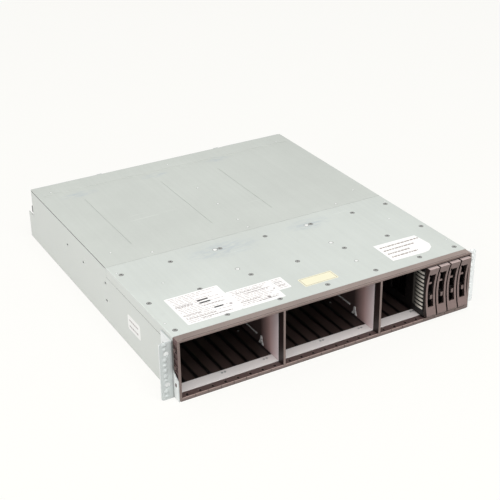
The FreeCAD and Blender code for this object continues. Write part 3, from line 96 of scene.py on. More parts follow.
class Recipe:
    """A node material on a Principled shader, built up one texture at a time."""

    def __init__(self, name):
        self.material = bpy.data.materials.new(name)
        self.material.use_nodes = True
        self.tree = self.material.node_tree
        self.shader = self.tree.nodes["Principled BSDF"]
        self.where = self.node("ShaderNodeTexCoord").outputs["Object"]

    def node(self, kind, **settings):
        made = self.tree.nodes.new(kind)
        for key, setting in settings.items():
            setattr(made, key, setting)
        return made

    def link(self, source, target):
        self.tree.links.new(source, target)

    def stretched(self, scale, turn=0.0):
        mapping = self.node("ShaderNodeMapping")
        mapping.inputs["Scale"].default_value = scale
        mapping.inputs["Rotation"].default_value[2] = turn
        self.link(self.where, mapping.inputs["Vector"])
        return mapping.outputs["Vector"]

    def noise(self, scale, detail=3.0, stretch=None, turn=0.0, rough=0.5):
        made = self.node("ShaderNodeTexNoise")
        made.inputs["Scale"].default_value = scale
        made.inputs["Detail"].default_value = detail
        made.inputs["Roughness"].default_value = rough
        self.link(self.stretched(stretch, turn) if stretch else self.where, made.inputs["Vector"])
        return made.outputs["Fac"]

    def cells(self, scale):
        made = self.node("ShaderNodeTexVoronoi")
        made.inputs["Scale"].default_value = scale
        self.link(self.where, made.inputs["Vector"])
        return made.outputs["Color"]

    def band(self, source, low, high, to_low=0.0, to_high=1.0):
        made = self.node("ShaderNodeMapRange")
        made.inputs["From Min"].default_value = low
        made.inputs["From Max"].default_value = high
        made.inputs["To Min"].default_value = to_low
        made.inputs["To Max"].default_value = to_high
        self.link(source, made.inputs["Value"])
        return made.outputs["Result"]

    def mix(self, factor, first, second):
        made = self.node("ShaderNodeMix", data_type="RGBA")
        for socket, given in ((made.inputs[0], factor), (made.inputs[6], first), (made.inputs[7], second)):
            if isinstance(given, bpy.types.NodeSocket):
                self.link(given, socket)
            elif isinstance(given, (int, float)):
                socket.default_value = given
            else:
                socket.default_value = (*given, 1.0)
        return made.outputs[2]

    def math(self, operation, first, second):
        made = self.node("ShaderNodeMath", operation=operation)
        for socket, given in zip(made.inputs, (first, second)):
            if isinstance(given, bpy.types.NodeSocket):
                self.link(given, socket)
            else:
                socket.default_value = given
        return made.outputs[0]

    def facing(self, axis):
        """1 where the surface looks along an axis of the object, and 0 where it doesn't."""
        geometry = self.node("ShaderNodeNewGeometry")
        product = self.node("ShaderNodeVectorMath", operation="DOT_PRODUCT")
        product.inputs[1].default_value = axis
        self.link(geometry.outputs["True Normal"], product.inputs[0])
        return self.band(product.outputs["Value"], 0.6, 0.9)

    def along(self, axis):
        """One coordinate of the object, in metres."""
        split = self.node("ShaderNodeSeparateXYZ")
        self.link(self.where, split.inputs[0])
        return split.outputs[axis]

    def occlusion_shade(self, distance, low=0.35, high=0.9, deep=0.25):
        """1 in the open, falling to a share of it in slots, seams and corners: painted shade from an
        ambient-occlusion node.
        """
        hollow = self.node("ShaderNodeAmbientOcclusion", samples=8)
        hollow.inputs["Distance"].default_value = distance
        return self.band(hollow.outputs["AO"], low, high, deep, 1.0)

    def edges(self, radius):
        """1 on convex edges, where a painted highlight goes, from how far a rounded normal turns away from
        the flat one.
        """
        rounded = self.node("ShaderNodeBevel", samples=6)
        rounded.inputs["Radius"].default_value = radius
        geometry = self.node("ShaderNodeNewGeometry")
        product = self.node("ShaderNodeVectorMath", operation="DOT_PRODUCT")
        self.link(rounded.outputs["Normal"], product.inputs[0])
        self.link(geometry.outputs["Normal"], product.inputs[1])
        turned = self.band(product.outputs["Value"], 0.80, 0.98, 1.0, 0.0)
        return self.math("MULTIPLY", turned, self.occlusion_shade(1.5 * MM, 0.45, 0.60, 0.0))

    def shade_inwards(self, start, end, share):
        """1 near the front of the metal, falling to a share further in, for painted shade deeper inside; both
        depths in millimetres.
        """
        return self.band(self.along("Y"), METAL_FRONT + start * MM, METAL_FRONT + end * MM, 1.0, share)

    def near(self, x, y, length, width):
        """1 at a place on the top, falling to 0 at the edge of an ellipse round it."""
        across = self.math("DIVIDE", self.math("SUBTRACT", self.along("X"), x), length)
        back = self.math("DIVIDE", self.math("SUBTRACT", self.along("Y"), y), width)
        reach = self.math("ADD", self.math("MULTIPLY", across, across), self.math("MULTIPLY", back, back))
        return self.band(reach, 0.0, 1.0, 1.0, 0.0)

    def dim(self, colour, share):
        """The colour times a share, from a socket."""
        return self.mix(share, (0.0, 0.0, 0.0), colour)

    def bump(self, height, strength, distance, soft_edge=None):
        made = self.node("ShaderNodeBump")
        made.inputs["Strength"].default_value = strength
        made.inputs["Distance"].default_value = distance
        self.link(height, made.inputs["Height"])
        if soft_edge:
            bevel = self.node("ShaderNodeBevel", samples=4)
            bevel.inputs["Radius"].default_value = soft_edge
            self.link(bevel.outputs["Normal"], made.inputs["Normal"])
        self.link(made.outputs["Normal"], self.shader.inputs["Normal"])

    def finish(self, colour, roughness, metallic=0.0, specular=0.5):
        self.link(colour, self.shader.inputs["Base Color"])
        self.link(roughness, self.shader.inputs["Roughness"])
        self.shader.inputs["Metallic"].default_value = metallic
        self.shader.inputs["Specular IOR Level"].default_value = specular
        return self.material


def shade(colour, factor):
    return tuple(channel * factor for channel in colour)


RUB_GREY = (0.43, 0.475, 0.50)
LIT_END_REACH = (0.2205, 0.2215)     # how far out the bezel's end faces change to a lighter copy of the colour, painted light
SHEEN_REACH = 0.18                # the painted sheen on the top rail grows paler to the right, this far either way


def plated_sheet(name, colour, roll="y", metallic=0.15, wear=1.0, inward_shade=None, deep=0.45, rub_spots=(),
                 side_face_light=None, inner_shade_colour=None):
    """Zinc-plated sheet: cloudy passivation, fine rolling lines, faint handling marks and scratches, with
    painted shade in hollows, and where asked painted light on side faces and painted shade further in.
    """
    recipe = Recipe(name)
    along = {"x": (3.0, 260.0, 260.0), "y": (260.0, 3.0, 260.0)}[roll]
    clouds = recipe.noise(7.0, 5.0, rough=0.6)
    grain = recipe.noise(1.0, 4.0, stretch=along)
    spangle = recipe.noise(420.0, 2.0)
    marks = recipe.noise(1.0, 2.0, stretch=(9.0, 150.0, 60.0), turn=0.6)
    rubs = recipe.noise(22.0, 6.0, rough=0.75)
    base = recipe.mix(recipe.band(clouds, 0.3, 0.7), shade(colour, 0.94), shade(colour, 1.05))
    base = recipe.mix(recipe.band(grain, 0.35, 0.65, 0.0, 0.22), base, shade(colour, 0.88))
    base = recipe.mix(recipe.band(spangle, 0.35, 0.65, 0.0, 0.10), base, shade(colour, 1.12))
    base = recipe.mix(recipe.band(marks, 0.70, 0.76, 0.0, 0.35 * wear), base, shade(colour, 1.22))
    base = recipe.mix(recipe.band(rubs, 0.62, 0.80, 0.0, 0.35 * wear), base, shade(colour, 0.80))
    # painted light: faces looking to either side take their own lighter colour
    if side_face_light:
        outward = recipe.math("MAXIMUM", recipe.facing((-1, 0, 0)), recipe.facing((1, 0, 0)))
        base = recipe.mix(outward, base, side_face_light)
    for x, y, length, width in rub_spots:
        streaks = recipe.noise(1.0, 5.0, stretch=(60.0, 210.0, 60.0), turn=-0.35, rough=0.7)
        spot = recipe.math("MULTIPLY", recipe.near(x, y, length, width), recipe.band(streaks, 0.42, 0.62))
        base = recipe.mix(recipe.math("MULTIPLY", spot, 0.75), base, RUB_GREY)
    # painted shade: from the front to 24 mm in, the colour turns to a darker given tint
    if inner_shade_colour:
        base = recipe.mix(recipe.shade_inwards(0, 24, 0.0), inner_shade_colour, base)
    # painted shade in hollows
    base = recipe.dim(base, recipe.occlusion_shade(2.5 * MM, 0.30, 0.75, deep))
    # painted shade: darker further in from the front
    if inward_shade:
        base = recipe.dim(base, recipe.shade_inwards(*inward_shade))
    rough = recipe.band(clouds, 0.3, 0.7, 0.50, 0.64)
    recipe.bump(recipe.math("ADD", grain, spangle), 0.10, 0.05 * MM, soft_edge=0.5 * MM)
    return recipe.finish(base, rough, metallic, specular=0.3)


def moulded(name, colour, front_sheen=None, above=None, top_from=84.2, lit_ledge=None, lit_ends=None, dust=0.5, deep=0.3):
    """Fine-grained moulding on a dark base colour, with painted light where colours are given: a painted
    sheen on front faces, and above on upward faces over a height in millimetres, paler to the right; lighter
    painted copies on the low upward faces and on the far left and right end faces; a painted highlight on the
    shelf's front lip and on convex edges, and painted shade in hollows."""
    recipe = Recipe(name)
    texture = recipe.noise(1400.0, 2.0)
    cloud = recipe.noise(16.0, 4.0)
    specks = recipe.noise(520.0, 2.0, rough=0.8)
    base = colour
    if front_sheen:
        # painted light: the far end faces take a lighter copy of the colour
        if lit_ends:
            far_out = recipe.band(recipe.math("ABSOLUTE", recipe.along("X"), 0), *LIT_END_REACH)
            base = recipe.mix(far_out, base, lit_ends)
        upward = recipe.facing((0, 0, 1))
        # painted light: low upward faces of the shelf take a lighter copy, and its front lip a painted
        # highlight
        if lit_ledge:
            low_down = recipe.band(recipe.along("Z"), 9 * MM, 10 * MM, 1.0, 0.0)
            base = recipe.mix(recipe.math("MULTIPLY", upward, low_down), base, lit_ledge)
            at_front = recipe.band(recipe.along("Y"), BEZEL_LOW.y + 1.4 * MM, BEZEL_LOW.y + 1.7 * MM,
                                   1.0, 0.0)
            rim = recipe.math("MULTIPLY", recipe.math("MULTIPLY", upward, low_down), at_front)
            base = recipe.mix(rim, base, shade(front_sheen, 3.2))
        # painted sheen on upward faces near the top, paler to the right
        high_up = recipe.band(recipe.along("Z"), top_from * MM, (top_from + 1) * MM)
        sheen_to_right = recipe.band(recipe.along("X"), -SHEEN_REACH, SHEEN_REACH)
        top_sheen = recipe.mix(sheen_to_right, shade(above or front_sheen, 0.88), shade(above or front_sheen, 1.14))
        base = recipe.mix(recipe.math("MULTIPLY", upward, high_up), base, top_sheen)
        # painted sheen: front faces take a lighter copy of the colour
        base = recipe.mix(recipe.facing((0, -1, 0)), base, front_sheen)
        # painted highlight on convex edges
        base = recipe.mix(recipe.edges(0.8 * MM), base, shade(front_sheen, 1.45))
    base = recipe.mix(recipe.band(cloud, 0.3, 0.7, 0.0, 0.22), base, shade(colour, 0.9))
    base = recipe.mix(recipe.band(texture, 0.3, 0.7, 0.0, 0.22), base, shade(colour, 0.6))
    dusty = tuple(0.75 * channel + 0.10 for channel in front_sheen or colour)
    base = recipe.mix(recipe.band(specks, 0.66, 0.78, 0.0, dust), base, dusty)
    # painted shade in hollows
    base = recipe.dim(base, recipe.occlusion_shade(4.0 * MM, 0.35, 0.85, deep))
    recipe.bump(texture, 0.25, 0.08 * MM, soft_edge=0.35 * MM)
    return recipe.finish(base, recipe.band(cloud, 0.3, 0.7, 0.42, 0.55))


def guide_moulding(name, colour, bare, node="lower_guide_left"):
    """Guide plates: brown-black between the ribs, with painted shade: deep black on the ribs and beside them,
    and darker further in.
    """
    recipe = Recipe(name)
    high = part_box(node)[1]
    rib = recipe.band(recipe.along("Z"), high.z - 1.4 * MM, high.z - 1.1 * MM)
    upper = recipe.band(recipe.along("Z"), TRAY_MIDDLE.z, TRAY_MIDDLE.z + MM, 1.0, 0.0)
    cloud = recipe.noise(30.0, 4.0)
    scuffs = recipe.noise(1.0, 3.0, stretch=(700.0, 18.0, 60.0))
    base = recipe.mix(recipe.band(cloud, 0.3, 0.7), shade(bare, 0.8), shade(bare, 1.2))
    base = recipe.mix(recipe.band(scuffs, 0.55, 0.72, 0.0, 0.35), base, shade(bare, 1.9))
    # painted shade: the ribs take a near-black colour
    base = recipe.mix(recipe.math("MULTIPLY", rib, upper), base, colour)
    tops = sorted(vertex.co.x for vertex in nodes[node].data.vertices if vertex.co.z > high.z - 0.3 * MM)
    offset = recipe.math("SUBTRACT", recipe.along("X"), tops[0] + RIB_WIDTH / 2)
    from_rib = recipe.math("PINGPONG", offset, CARRIER_PITCH / 2)
    # painted shade beside each rib
    base = recipe.dim(base, recipe.band(from_rib, 2.0 * MM, 3.2 * MM, 0.08, 1.0))
    # painted shade further in
    base = recipe.dim(base, recipe.shade_inwards(50, 150, 0.35))
    recipe.bump(scuffs, 0.15, 0.05 * MM, soft_edge=0.3 * MM)
    return recipe.finish(base, recipe.band(cloud, 0.3, 0.7, 0.40, 0.52))


def board_finish(name, colour, parts_from=None):
    """Solder mask with fine tracks and pale pads; plated cages and heat sinks above a height in metres, with
    painted shade in their hollows.
    """
    recipe = Recipe(name)
    tracks = recipe.noise(1.0, 1.0, stretch=(90.0, 90.0, 900.0))
    pads = recipe.cells(260.0)
    cloud = recipe.noise(40.0, 3.0)
    base = recipe.mix(recipe.band(tracks, 0.48, 0.52), shade(colour, 0.75), shade(colour, 1.35))
    base = recipe.mix(recipe.band(pads, 0.93, 0.96, 0.0, 0.5), base, (0.45, 0.42, 0.30))
    if parts_from:
        lines = recipe.noise(1.0, 3.0, stretch=(300.0, 12.0, 300.0))
        metal = recipe.mix(recipe.band(lines, 0.35, 0.65), (0.40, 0.41, 0.41), (0.56, 0.57, 0.57))
        # painted shade in the hollows of cages and heat sinks
        metal = recipe.dim(metal, recipe.occlusion_shade(12.0 * MM, 0.30, 0.85, 0.05))
        base = recipe.mix(recipe.band(recipe.along("Z"), parts_from, parts_from + 0.1 * MM), base, metal)
    recipe.bump(tracks, 0.2, 0.05 * MM)
    return recipe.finish(base, recipe.band(cloud, 0.3, 0.7, 0.32, 0.5))


def spring_strip(name, colour, inward_shade=None, metallic=0.6):
    """Bright bent spring strip with drawing lines, darker further in where asked: painted shade."""
    recipe = Recipe(name)
    lines = recipe.noise(1.0, 3.0, stretch=(900.0, 900.0, 40.0))
    cloud = recipe.noise(120.0, 3.0)
    base = recipe.mix(recipe.band(cloud, 0.3, 0.7), shade(colour, 0.85), shade(colour, 1.08))
    base = recipe.mix(recipe.band(lines, 0.4, 0.6, 0.0, 0.25), base, shade(colour, 0.7))
    # painted shade: darker further in
    if inward_shade:
        base = recipe.dim(base, recipe.shade_inwards(*inward_shade))
    recipe.bump(lines, 0.15, 0.03 * MM)
    return recipe.finish(base, recipe.band(lines, 0.3, 0.7, 0.26, 0.40), metallic)


def board_top(node):
    """The upper face of a canister's board, just over its lowest level."""
    levels = sorted(vertex.co.z for vertex in nodes[node].data.vertices)
    return next(level for level in levels if level > levels[0] + MM) + 0.05 * MM


def lamp_lens(name, colour):
    """A small moulded light pipe: clear-coated coloured plastic, unlit."""
    recipe = Recipe(name)
    cloud = recipe.noise(900.0, 2.0)
    base = recipe.mix(recipe.band(cloud, 0.3, 0.7), shade(colour, 0.8), colour)
    recipe.shader.inputs["Coat Weight"].default_value = 0.6
    return recipe.finish(base, recipe.band(cloud, 0.3, 0.7, 0.12, 0.22))


def paper(name, colour):
    """Printed film label: slightly uneven white with a faint satin sheen."""
    recipe = Recipe(name)
    fibre = recipe.noise(600.0, 3.0)
    cloud = recipe.noise(30.0, 4.0)
    base = recipe.mix(recipe.band(cloud, 0.3, 0.7), shade(colour, 0.965), colour)
    base = recipe.mix(recipe.band(fibre, 0.4, 0.7, 0.0, 0.10), base, shade(colour, 0.9))
    recipe.bump(fibre, 0.08, 0.02 * MM)
    return recipe.finish(base, recipe.band(cloud, 0.3, 0.7, 0.42, 0.54))


RUB_SPOTS = [(-62 * MM, METAL_FRONT + 170 * MM, 62 * MM, 26 * MM),
             (80 * MM, METAL_FRONT + 176 * MM, 40 * MM, 18 * MM)]
COVER_RUB_SPOTS = [(-166 * MM, METAL_FRONT + 441 * MM, 34 * MM, 12 * MM),
                   (-36 * MM, METAL_FRONT + 447 * MM, 26 * MM, 10 * MM),
                   (78 * MM, METAL_FRONT + 454 * MM, 26 * MM, 10 * MM)]
FINISHES = {
    # painted light: the side walls take a lighter colour than the top
    "plated_sheet": plated_sheet("plated_sheet_metal", (0.568, 0.596, 0.562), rub_spots=RUB_SPOTS,
                                 side_face_light=(0.655, 0.672, 0.640)),
    "cover_sheet": plated_sheet("rear_cover_metal", (0.540, 0.563, 0.526), deep=0.93,
                                rub_spots=COVER_RUB_SPOTS),
    # painted light: the ear's side faces take a lighter colour
    "galvanised_sheet": plated_sheet("galvanised_ear_metal", (0.52, 0.55, 0.54), metallic=0.2,
                                     side_face_light=(0.82, 0.83, 0.82), deep=0.7),
    # painted light: the right ear takes a paler copy of the ear metal
    "lit_right_ear_sheet": plated_sheet("lit_right_ear_metal", (0.80, 0.82, 0.81), metallic=0.1, deep=0.8),
    # painted reflection: the pinkish tint stands for light from the brown bezel plastic
    "bright_sheet": plated_sheet("bright_inner_metal", (0.84, 0.79, 0.77), roll="x", metallic=0.0, wear=0.8,
                                 deep=0.8),
    # painted reflection and painted shade: the pinkish colour stands for light from the brown plastic, and it
    # darkens to a deeper pink further in
    "divider_sheet": plated_sheet("divider_metal", (0.92, 0.80, 0.81), roll="x", metallic=0.0, wear=0.6,
                                  inward_shade=(20, 46, 0.12), inner_shade_colour=(0.69, 0.45, 0.43)),
    "module_sheet": plated_sheet("module_metal", (0.58, 0.60, 0.585), roll="x"),
    # painted light: the moulding itself is near black; its front, top, shelf, edge and end colours are
    # painted sheen, painted highlights and lighter painted copies, with strong painted shade in hollows
    "bezel_plastic": moulded("bezel_moulding", (0.020, 0.010, 0.009), front_sheen=(0.210, 0.154, 0.137),
                             above=(0.285, 0.222, 0.197), lit_ledge=(0.110, 0.070, 0.064),
                             lit_ends=(0.120, 0.062, 0.058), deep=0.15),
    # painted sheen on the lever and latch front faces and convex edges, and on the lever tops above 70 mm
    "lever_plastic": moulded("lever_moulding", (0.028, 0.018, 0.016), front_sheen=(0.215, 0.150, 0.137),
                             above=(0.560, 0.450, 0.425), top_from=70.0),
    "latch_plastic": moulded("latch_moulding", (0.030, 0.020, 0.018), front_sheen=(0.190, 0.138, 0.125)),
    "filler_plastic": moulded("filler_moulding", (0.007, 0.005, 0.005), dust=0.1),
    "guide_plastic": guide_moulding("guide_moulding", (0.002, 0.001, 0.001), (0.040, 0.025, 0.022)),
    "guide_centre": guide_moulding("guide_centre_moulding", (0.002, 0.001, 0.001), (0.040, 0.025, 0.022),
                                   "lower_guide_centre"),
    "guide_right": guide_moulding("guide_right_moulding", (0.002, 0.001, 0.001), (0.040, 0.025, 0.022),
                                  "lower_guide_right"),
    # painted shade: the spring fingers darken from their front ends inwards
    "spring_steel": spring_strip("spring_steel", (0.98, 0.93, 0.83), inward_shade=(-3, 12, 0.12), metallic=0.2),
    "clip_steel": spring_strip("clip_steel", (0.98, 0.97, 0.95), metallic=0.1),
    "circuit_board": board_finish("solder_mask", (0.020, 0.110, 0.045)),
    "lower_board": board_finish("lower_board_mask", (0.020, 0.110, 0.045), board_top("canister_lower_board")),
    "upper_board": board_finish("upper_board_mask", (0.020, 0.110, 0.045), board_top("canister_upper_board")),
    "connector_plastic": moulded("connector_moulding", (0.022, 0.022, 0.022), dust=0.1),
    "fastener_steel": spring_strip("fastener_steel", (0.62, 0.63, 0.62)),
    "dark_plastic": moulded("dark_moulding", (0.028, 0.028, 0.030)),
    "label_white": paper("label_film_white", (0.885, 0.870, 0.850)),
    "label_yellow": paper("label_film_yellow", (0.80, 0.76, 0.56)),
    "print_pale": paper("print_pale", (0.46, 0.40, 0.385)),
    "print_grey": paper("print_grey", (0.42, 0.38, 0.37)),
    "print_brown": paper("print_brown", (0.27, 0.22, 0.19)),
    "print_black": paper("print_black", (0.035, 0.033, 0.035)),
    "spot_bright": spring_strip("spot_bright", (0.95, 0.96, 0.95)),
    "spot_ring": spring_strip("spot_ring", (0.26, 0.27, 0.26)),
    "screw_dark": spring_strip("screw_dark", (0.34, 0.345, 0.335)),
    "coil_grey": moulded("coil_grey", (0.16, 0.16, 0.165), dust=0.2),
    # painted shade in screw recesses and painted shadow round screw seats
    "recess_dark": moulded("recess_dark", (0.05, 0.05, 0.045), dust=0.1),
    "lens_green": lamp_lens("lens_green", (0.05, 0.22, 0.06)),
    "lens_amber": lamp_lens("lens_amber", (0.45, 0.17, 0.02)),
    # painted shadow: dark strips put in the cover seams
    "seam_shadow_strip": moulded("seam_shadow_strip", (0.018, 0.017, 0.016), dust=0.2),
}
OWN_FINISH = {"rear_top_cover": "cover_sheet", "right_rack_ear": "lit_right_ear_sheet",
              "divider_wall_left": "divider_sheet", "divider_wall_right": "divider_sheet",
              "divider_clips": "clip_steel", "lower_guide_centre": "guide_centre",
              "upper_guide_centre": "guide_centre", "lower_guide_right": "guide_right",
              "upper_guide_right": "guide_right", "canister_lower_board": "lower_board",
              "canister_upper_board": "upper_board"}
for node in nodes:
    if node.endswith("_lever"):
        OWN_FINISH[node] = "lever_plastic"
    if node.endswith("_latch"):
        OWN_FINISH[node] = "latch_plastic"


def dress_cad_nodes():
    """Every CAD node gets the finish of its material slot, or its own where OWN_FINISH names one."""
    slots = {row["node"]: row["material_slot"] for row in frame["record"]["subparts"]}
    for name, piece in nodes.items():
        finish = FINISHES[OWN_FINISH.get(name, slots[name])]
        piece.data.materials.clear()
        piece.data.materials.append(finish)


# ---------------------------------------------------------------- small mesh makers

def piece_from(name, mesh_maker, finish, body="enclosure"):
    """A new piece whose mesh the maker fills in, riding on a body."""
    mesh = bpy.data.meshes.new(name)
    work = bmesh.new()
    mesh_maker(work)
    bmesh.ops.recalc_face_normals(work, faces=work.faces)
    work.to_mesh(mesh)
    work.free()
    mesh.materials.append(finish)
    made = bpy.data.objects.new(name, mesh)
    bpy.context.scene.collection.objects.link(made)
    bpy.context.view_layer.update()
    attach(made, body)
    return made


def rounded_slab(work, x0, x1, y0, y1, z0, z1, radius, steps=5):
    """A flat slab with rounded corners, such as a label."""
    ring = []
    corners = ((x1, y1, 0), (x0, y1, 1), (x0, y0, 2), (x1, y0, 3))
    for x, y, quarter in corners:
        centre_x = x - radius if quarter in (0, 3) else x + radius
        centre_y = y - radius if quarter in (0, 1) else y + radius
        for step in range(steps + 1):
            turn = (quarter + step / steps) * math.pi / 2
            ring.append((centre_x + radius * math.cos(turn), centre_y + radius * math.sin(turn)))
    face = work.faces.new([work.verts.new((x, y, z0)) for x, y in ring])
    made = bmesh.ops.extrude_face_region(work, geom=[face])
    lifted = [item for item in made["geom"] if isinstance(item, bmesh.types.BMVert)]
    bmesh.ops.translate(work, verts=lifted, vec=(0, 0, z1 - z0))


def add_box(work, x0, x1, y0, y1, z0, z1):
    """A closed block in the work mesh."""
    plan = ((x0, y0), (x1, y0), (x1, y1), (x0, y1))
    corners = [work.verts.new((x, y, z)) for z in (z0, z1) for x, y in plan]
    for ring in ((0, 3, 2, 1), (4, 5, 6, 7), (0, 1, 5, 4), (1, 2, 6, 5), (2, 3, 7, 6), (3, 0, 4, 7)):
        work.faces.new([corners[index] for index in ring])


TURNS = {"Z": Matrix.Identity(3),
         "Y": Matrix(((1, 0, 0), (0, 0, 1), (0, -1, 0))), "-Y": Matrix(((1, 0, 0), (0, 0, -1), (0, 1, 0))),
         "X": Matrix(((0, 0, 1), (0, 1, 0), (-1, 0, 0))), "-X": Matrix(((0, 0, -1), (0, 1, 0), (1, 0, 0)))}


def add_lathe(work, centre, profile, sides=24, axis="Z", lobes=()):
    """Rings of a profile [(radius, height, finish), ...] round an axis, open where it is seated. The rings
    that lobes names are six-pointed."""
    rings = []
    for index, (radius, height, finish) in enumerate(profile):
        ring = []
        for side in range(sides):
            angle = 2 * math.pi * side / sides
            reach = radius * (1 + 0.12 * math.cos(6 * angle)) if index in lobes else radius
            point = Vector((reach * math.cos(angle), reach * math.sin(angle), height))
            ring.append(work.verts.new(Vector(centre) + TURNS[axis] @ point))
        rings.append(ring)
    for index in range(len(rings) - 1):
        lower, upper = rings[index], rings[index + 1]
        for side in range(sides):
            following = (side + 1) % sides
            face = work.faces.new((lower[side], lower[following], upper[following], upper[side]))
            face.material_index = profile[index + 1][2]
            face.smooth = True
    cap = work.faces.new(rings[-1])
    cap.material_index = profile[-1][2]


def islands(node):
    """Lowest and highest corner of each separate solid in a CAD node."""
    mesh = nodes[node].data
    parent = list(range(len(mesh.vertices)))

    def root(index):
        while parent[index] != index:
            parent[index] = parent[parent[index]]
            index = parent[index]
        return index

    by_place = {}
    for vertex in mesh.vertices:
        key = tuple(round(value * 1e6) for value in vertex.co)
        parent[root(vertex.index)] = root(by_place.setdefault(key, vertex.index))
    for edge in mesh.edges:
        parent[root(edge.vertices[0])] = root(edge.vertices[1])
    groups = {}
    for vertex in mesh.vertices:
        groups.setdefault(root(vertex.index), []).append(vertex.co)
    boxes = []
    for points in groups.values():
        low = Vector(min(point[axis] for point in points) for axis in range(3))
        high = Vector(max(point[axis] for point in points) for axis in range(3))
        boxes.append((low, high))
    return boxes


# ---------------------------------------------------------------- labels and print

def from_front(x, depth):
    """A place on the top, in millimetres from the middle and from the front of the metal."""
    return x * MM, METAL_FRONT + depth * MM


def make_cut_label(name, finish):
    """The right-hand label, whose near corner is cut away along a bent line."""
    outline = [(117, 22), (168, 20.5), (177, 22), (186, 29), (190, 38), (189, 52), (187, 69), (118, 70.5)]

    def build(work):
        lower, upper = ([work.verts.new((*from_front(x, depth), height)) for x, depth in outline]
                        for height in (TOP, TOP + SKIN))
        work.faces.new(upper)
        work.faces.new(lower[::-1])
        for index in range(len(outline)):
            following = (index + 1) % len(outline)
            work.faces.new((lower[index], lower[following], upper[following], upper[index]))

    return piece_from(name, build, finish)


def label_on_top(name, finish, left, right, front, rear, corner=1.5, layer=1):
    """A thin film label on the front top panel."""
    x0, y0 = from_front(left, front)
    x1, y1 = from_front(right, rear)

    def build(work):
        rounded_slab(work, x0, x1, y0, y1, TOP, TOP + layer * SKIN, corner * MM)

    return piece_from(name, build, finish)


def print_rows(work, rows, height, top, seed, word=(1.2, 4.2), space=0.9):
    """Rows of short plain bars, where the real label has lines of small print."""
    pick = random.Random(seed)
    for left, right, level in rows:
        place_x = left
        while place_x < right:
            length = min(pick.uniform(*word), right - place_x)
            if length > 0.6:
                x0, y0 = from_front(place_x, level - height / 2)
                x1, y1 = from_front(place_x + length, level + height / 2)
                add_box(work, x0, x1, y0, y1, top, top + SKIN / 2)
            place_x += length + space * pick.uniform(0.7, 1.3)


YELLOW_LABEL = (-21, 30, 22, 43)
LABEL_DOTS = [(-124, 35, 2.2), (-74, 25, 2.4), (-58, 40, 1.5), (-104, 25, 1.1), (-97, 25, 1.1)]


def make_top_labels():
    """The labels on the front top panel, with plain bars for print."""
    white = FINISHES["label_white"]
    label_on_top("data_label_left", white, -194, -118, 15, 85)
    label_on_top("data_label_middle", white, -117.6, -55, 15, 62)
    label_on_top("data_label_edge", white, -54.6, -36, 32, 62)
    label_on_top("yellow_label", FINISHES["label_yellow"], *YELLOW_LABEL)
    make_cut_label("note_label_right", white)
    row_ends = (-124, -146, -131, -160, -138, -127, -152)
    row_starts = (-190, -188.5, -190, -186)
    pale_rows = [(row_starts[level % 4], row_ends[level % 7], 81.5 - 3.7 * level) for level in range(18)]
    pale_rows += [(-114 + row_starts[level % 4] + 190, -60 - 5 * (level % 3), 58.5 - 3.7 * level)
                  for level in range(11)]
    pale_rows += [(-52, -39 - 2 * (level % 2), 58.5 - 3.7 * level) for level in range(7)]
    grey_rows = [(-190, -168, 60.0), (-190, -166, 57.2), (-156, -126, 47.0), (-190, -166, 35.5),
                 (-190, -148, 27.0), (-170, -128, 21.5), (-108, -70, 52.0), (-98, -64, 46.5),
                 (-112, -84, 30.0), (-90, -62, 22.0), (-52, -41, 51.0), (-50, -40, 42.0)]
    bold_bars = [(-158.5, -143, 61.5, 3.0), (-158.5, -143, 55.0, 3.0), (-147, -134, 36.5, 3.0)]
    note_rows = [(122, 188, 60.3), (122, 172, 50.6), (122, 158, 40.9), (122, 165, 31.3)]

    def pale_print(work):
        print_rows(work, pale_rows, 1.0, TOP + SKIN, seed=2, word=(2.4, 9.0), space=1.5)

    def fine_print(work):
        print_rows(work, grey_rows, 1.5, TOP + SKIN, seed=4)

    def note_print(work):
        print_rows(work, note_rows, 2.5, TOP + SKIN, seed=9, word=(2.2, 6.5), space=1.1)

    def bars(work):
        for left, right, level, height in bold_bars:
            x0, y0 = from_front(left, level - height / 2)
            x1, y1 = from_front(right, level + height / 2)
            rounded_slab(work, x0, x1, y0, y1, TOP + SKIN, TOP + 1.5 * SKIN, 0.6 * MM)

    def dots(work):
        for x, depth, size in LABEL_DOTS:
            x0, y0 = from_front(x, depth)
            add_lathe(work, (x0, y0, TOP + SKIN), [(size * MM, 0, 0), (size * MM, SKIN / 2, 0)], sides=20)

    piece_from("label_pale_print", pale_print, FINISHES["print_pale"])
    piece_from("label_fine_print", fine_print, FINISHES["print_grey"])
    piece_from("label_note_print", note_print, FINISHES["print_brown"])
    piece_from("label_bold_bars", bars, FINISHES["print_black"])
    piece_from("label_dots", dots, FINISHES["print_grey"])

    def frame_line(work):
        left, right, front, rear = YELLOW_LABEL
        inset, line = 1.6, 0.55 * MM
        x0, y0 = from_front(left + inset, front + inset)
        x1, y1 = from_front(right - inset, rear - inset)
        for plan in ((x0, x1, y0, y0 + line), (x0, x1, y1 - line, y1),
                     (x0, x0 + line, y0 + line, y1 - line), (x1 - line, x1, y0 + line, y1 - line)):
            add_box(work, *plan, TOP + SKIN, TOP + 1.3 * SKIN)

    piece_from("yellow_label_border", frame_line, FINISHES["print_brown"])


SIDE_LABEL = {"front": 98, "rear": 137, "bottom": 28, "top": 49.5}
SIDE_ROWS = {"levels": (42.5, 33.7), "start": 105.0, "end": 132, "half_height": 1.2}


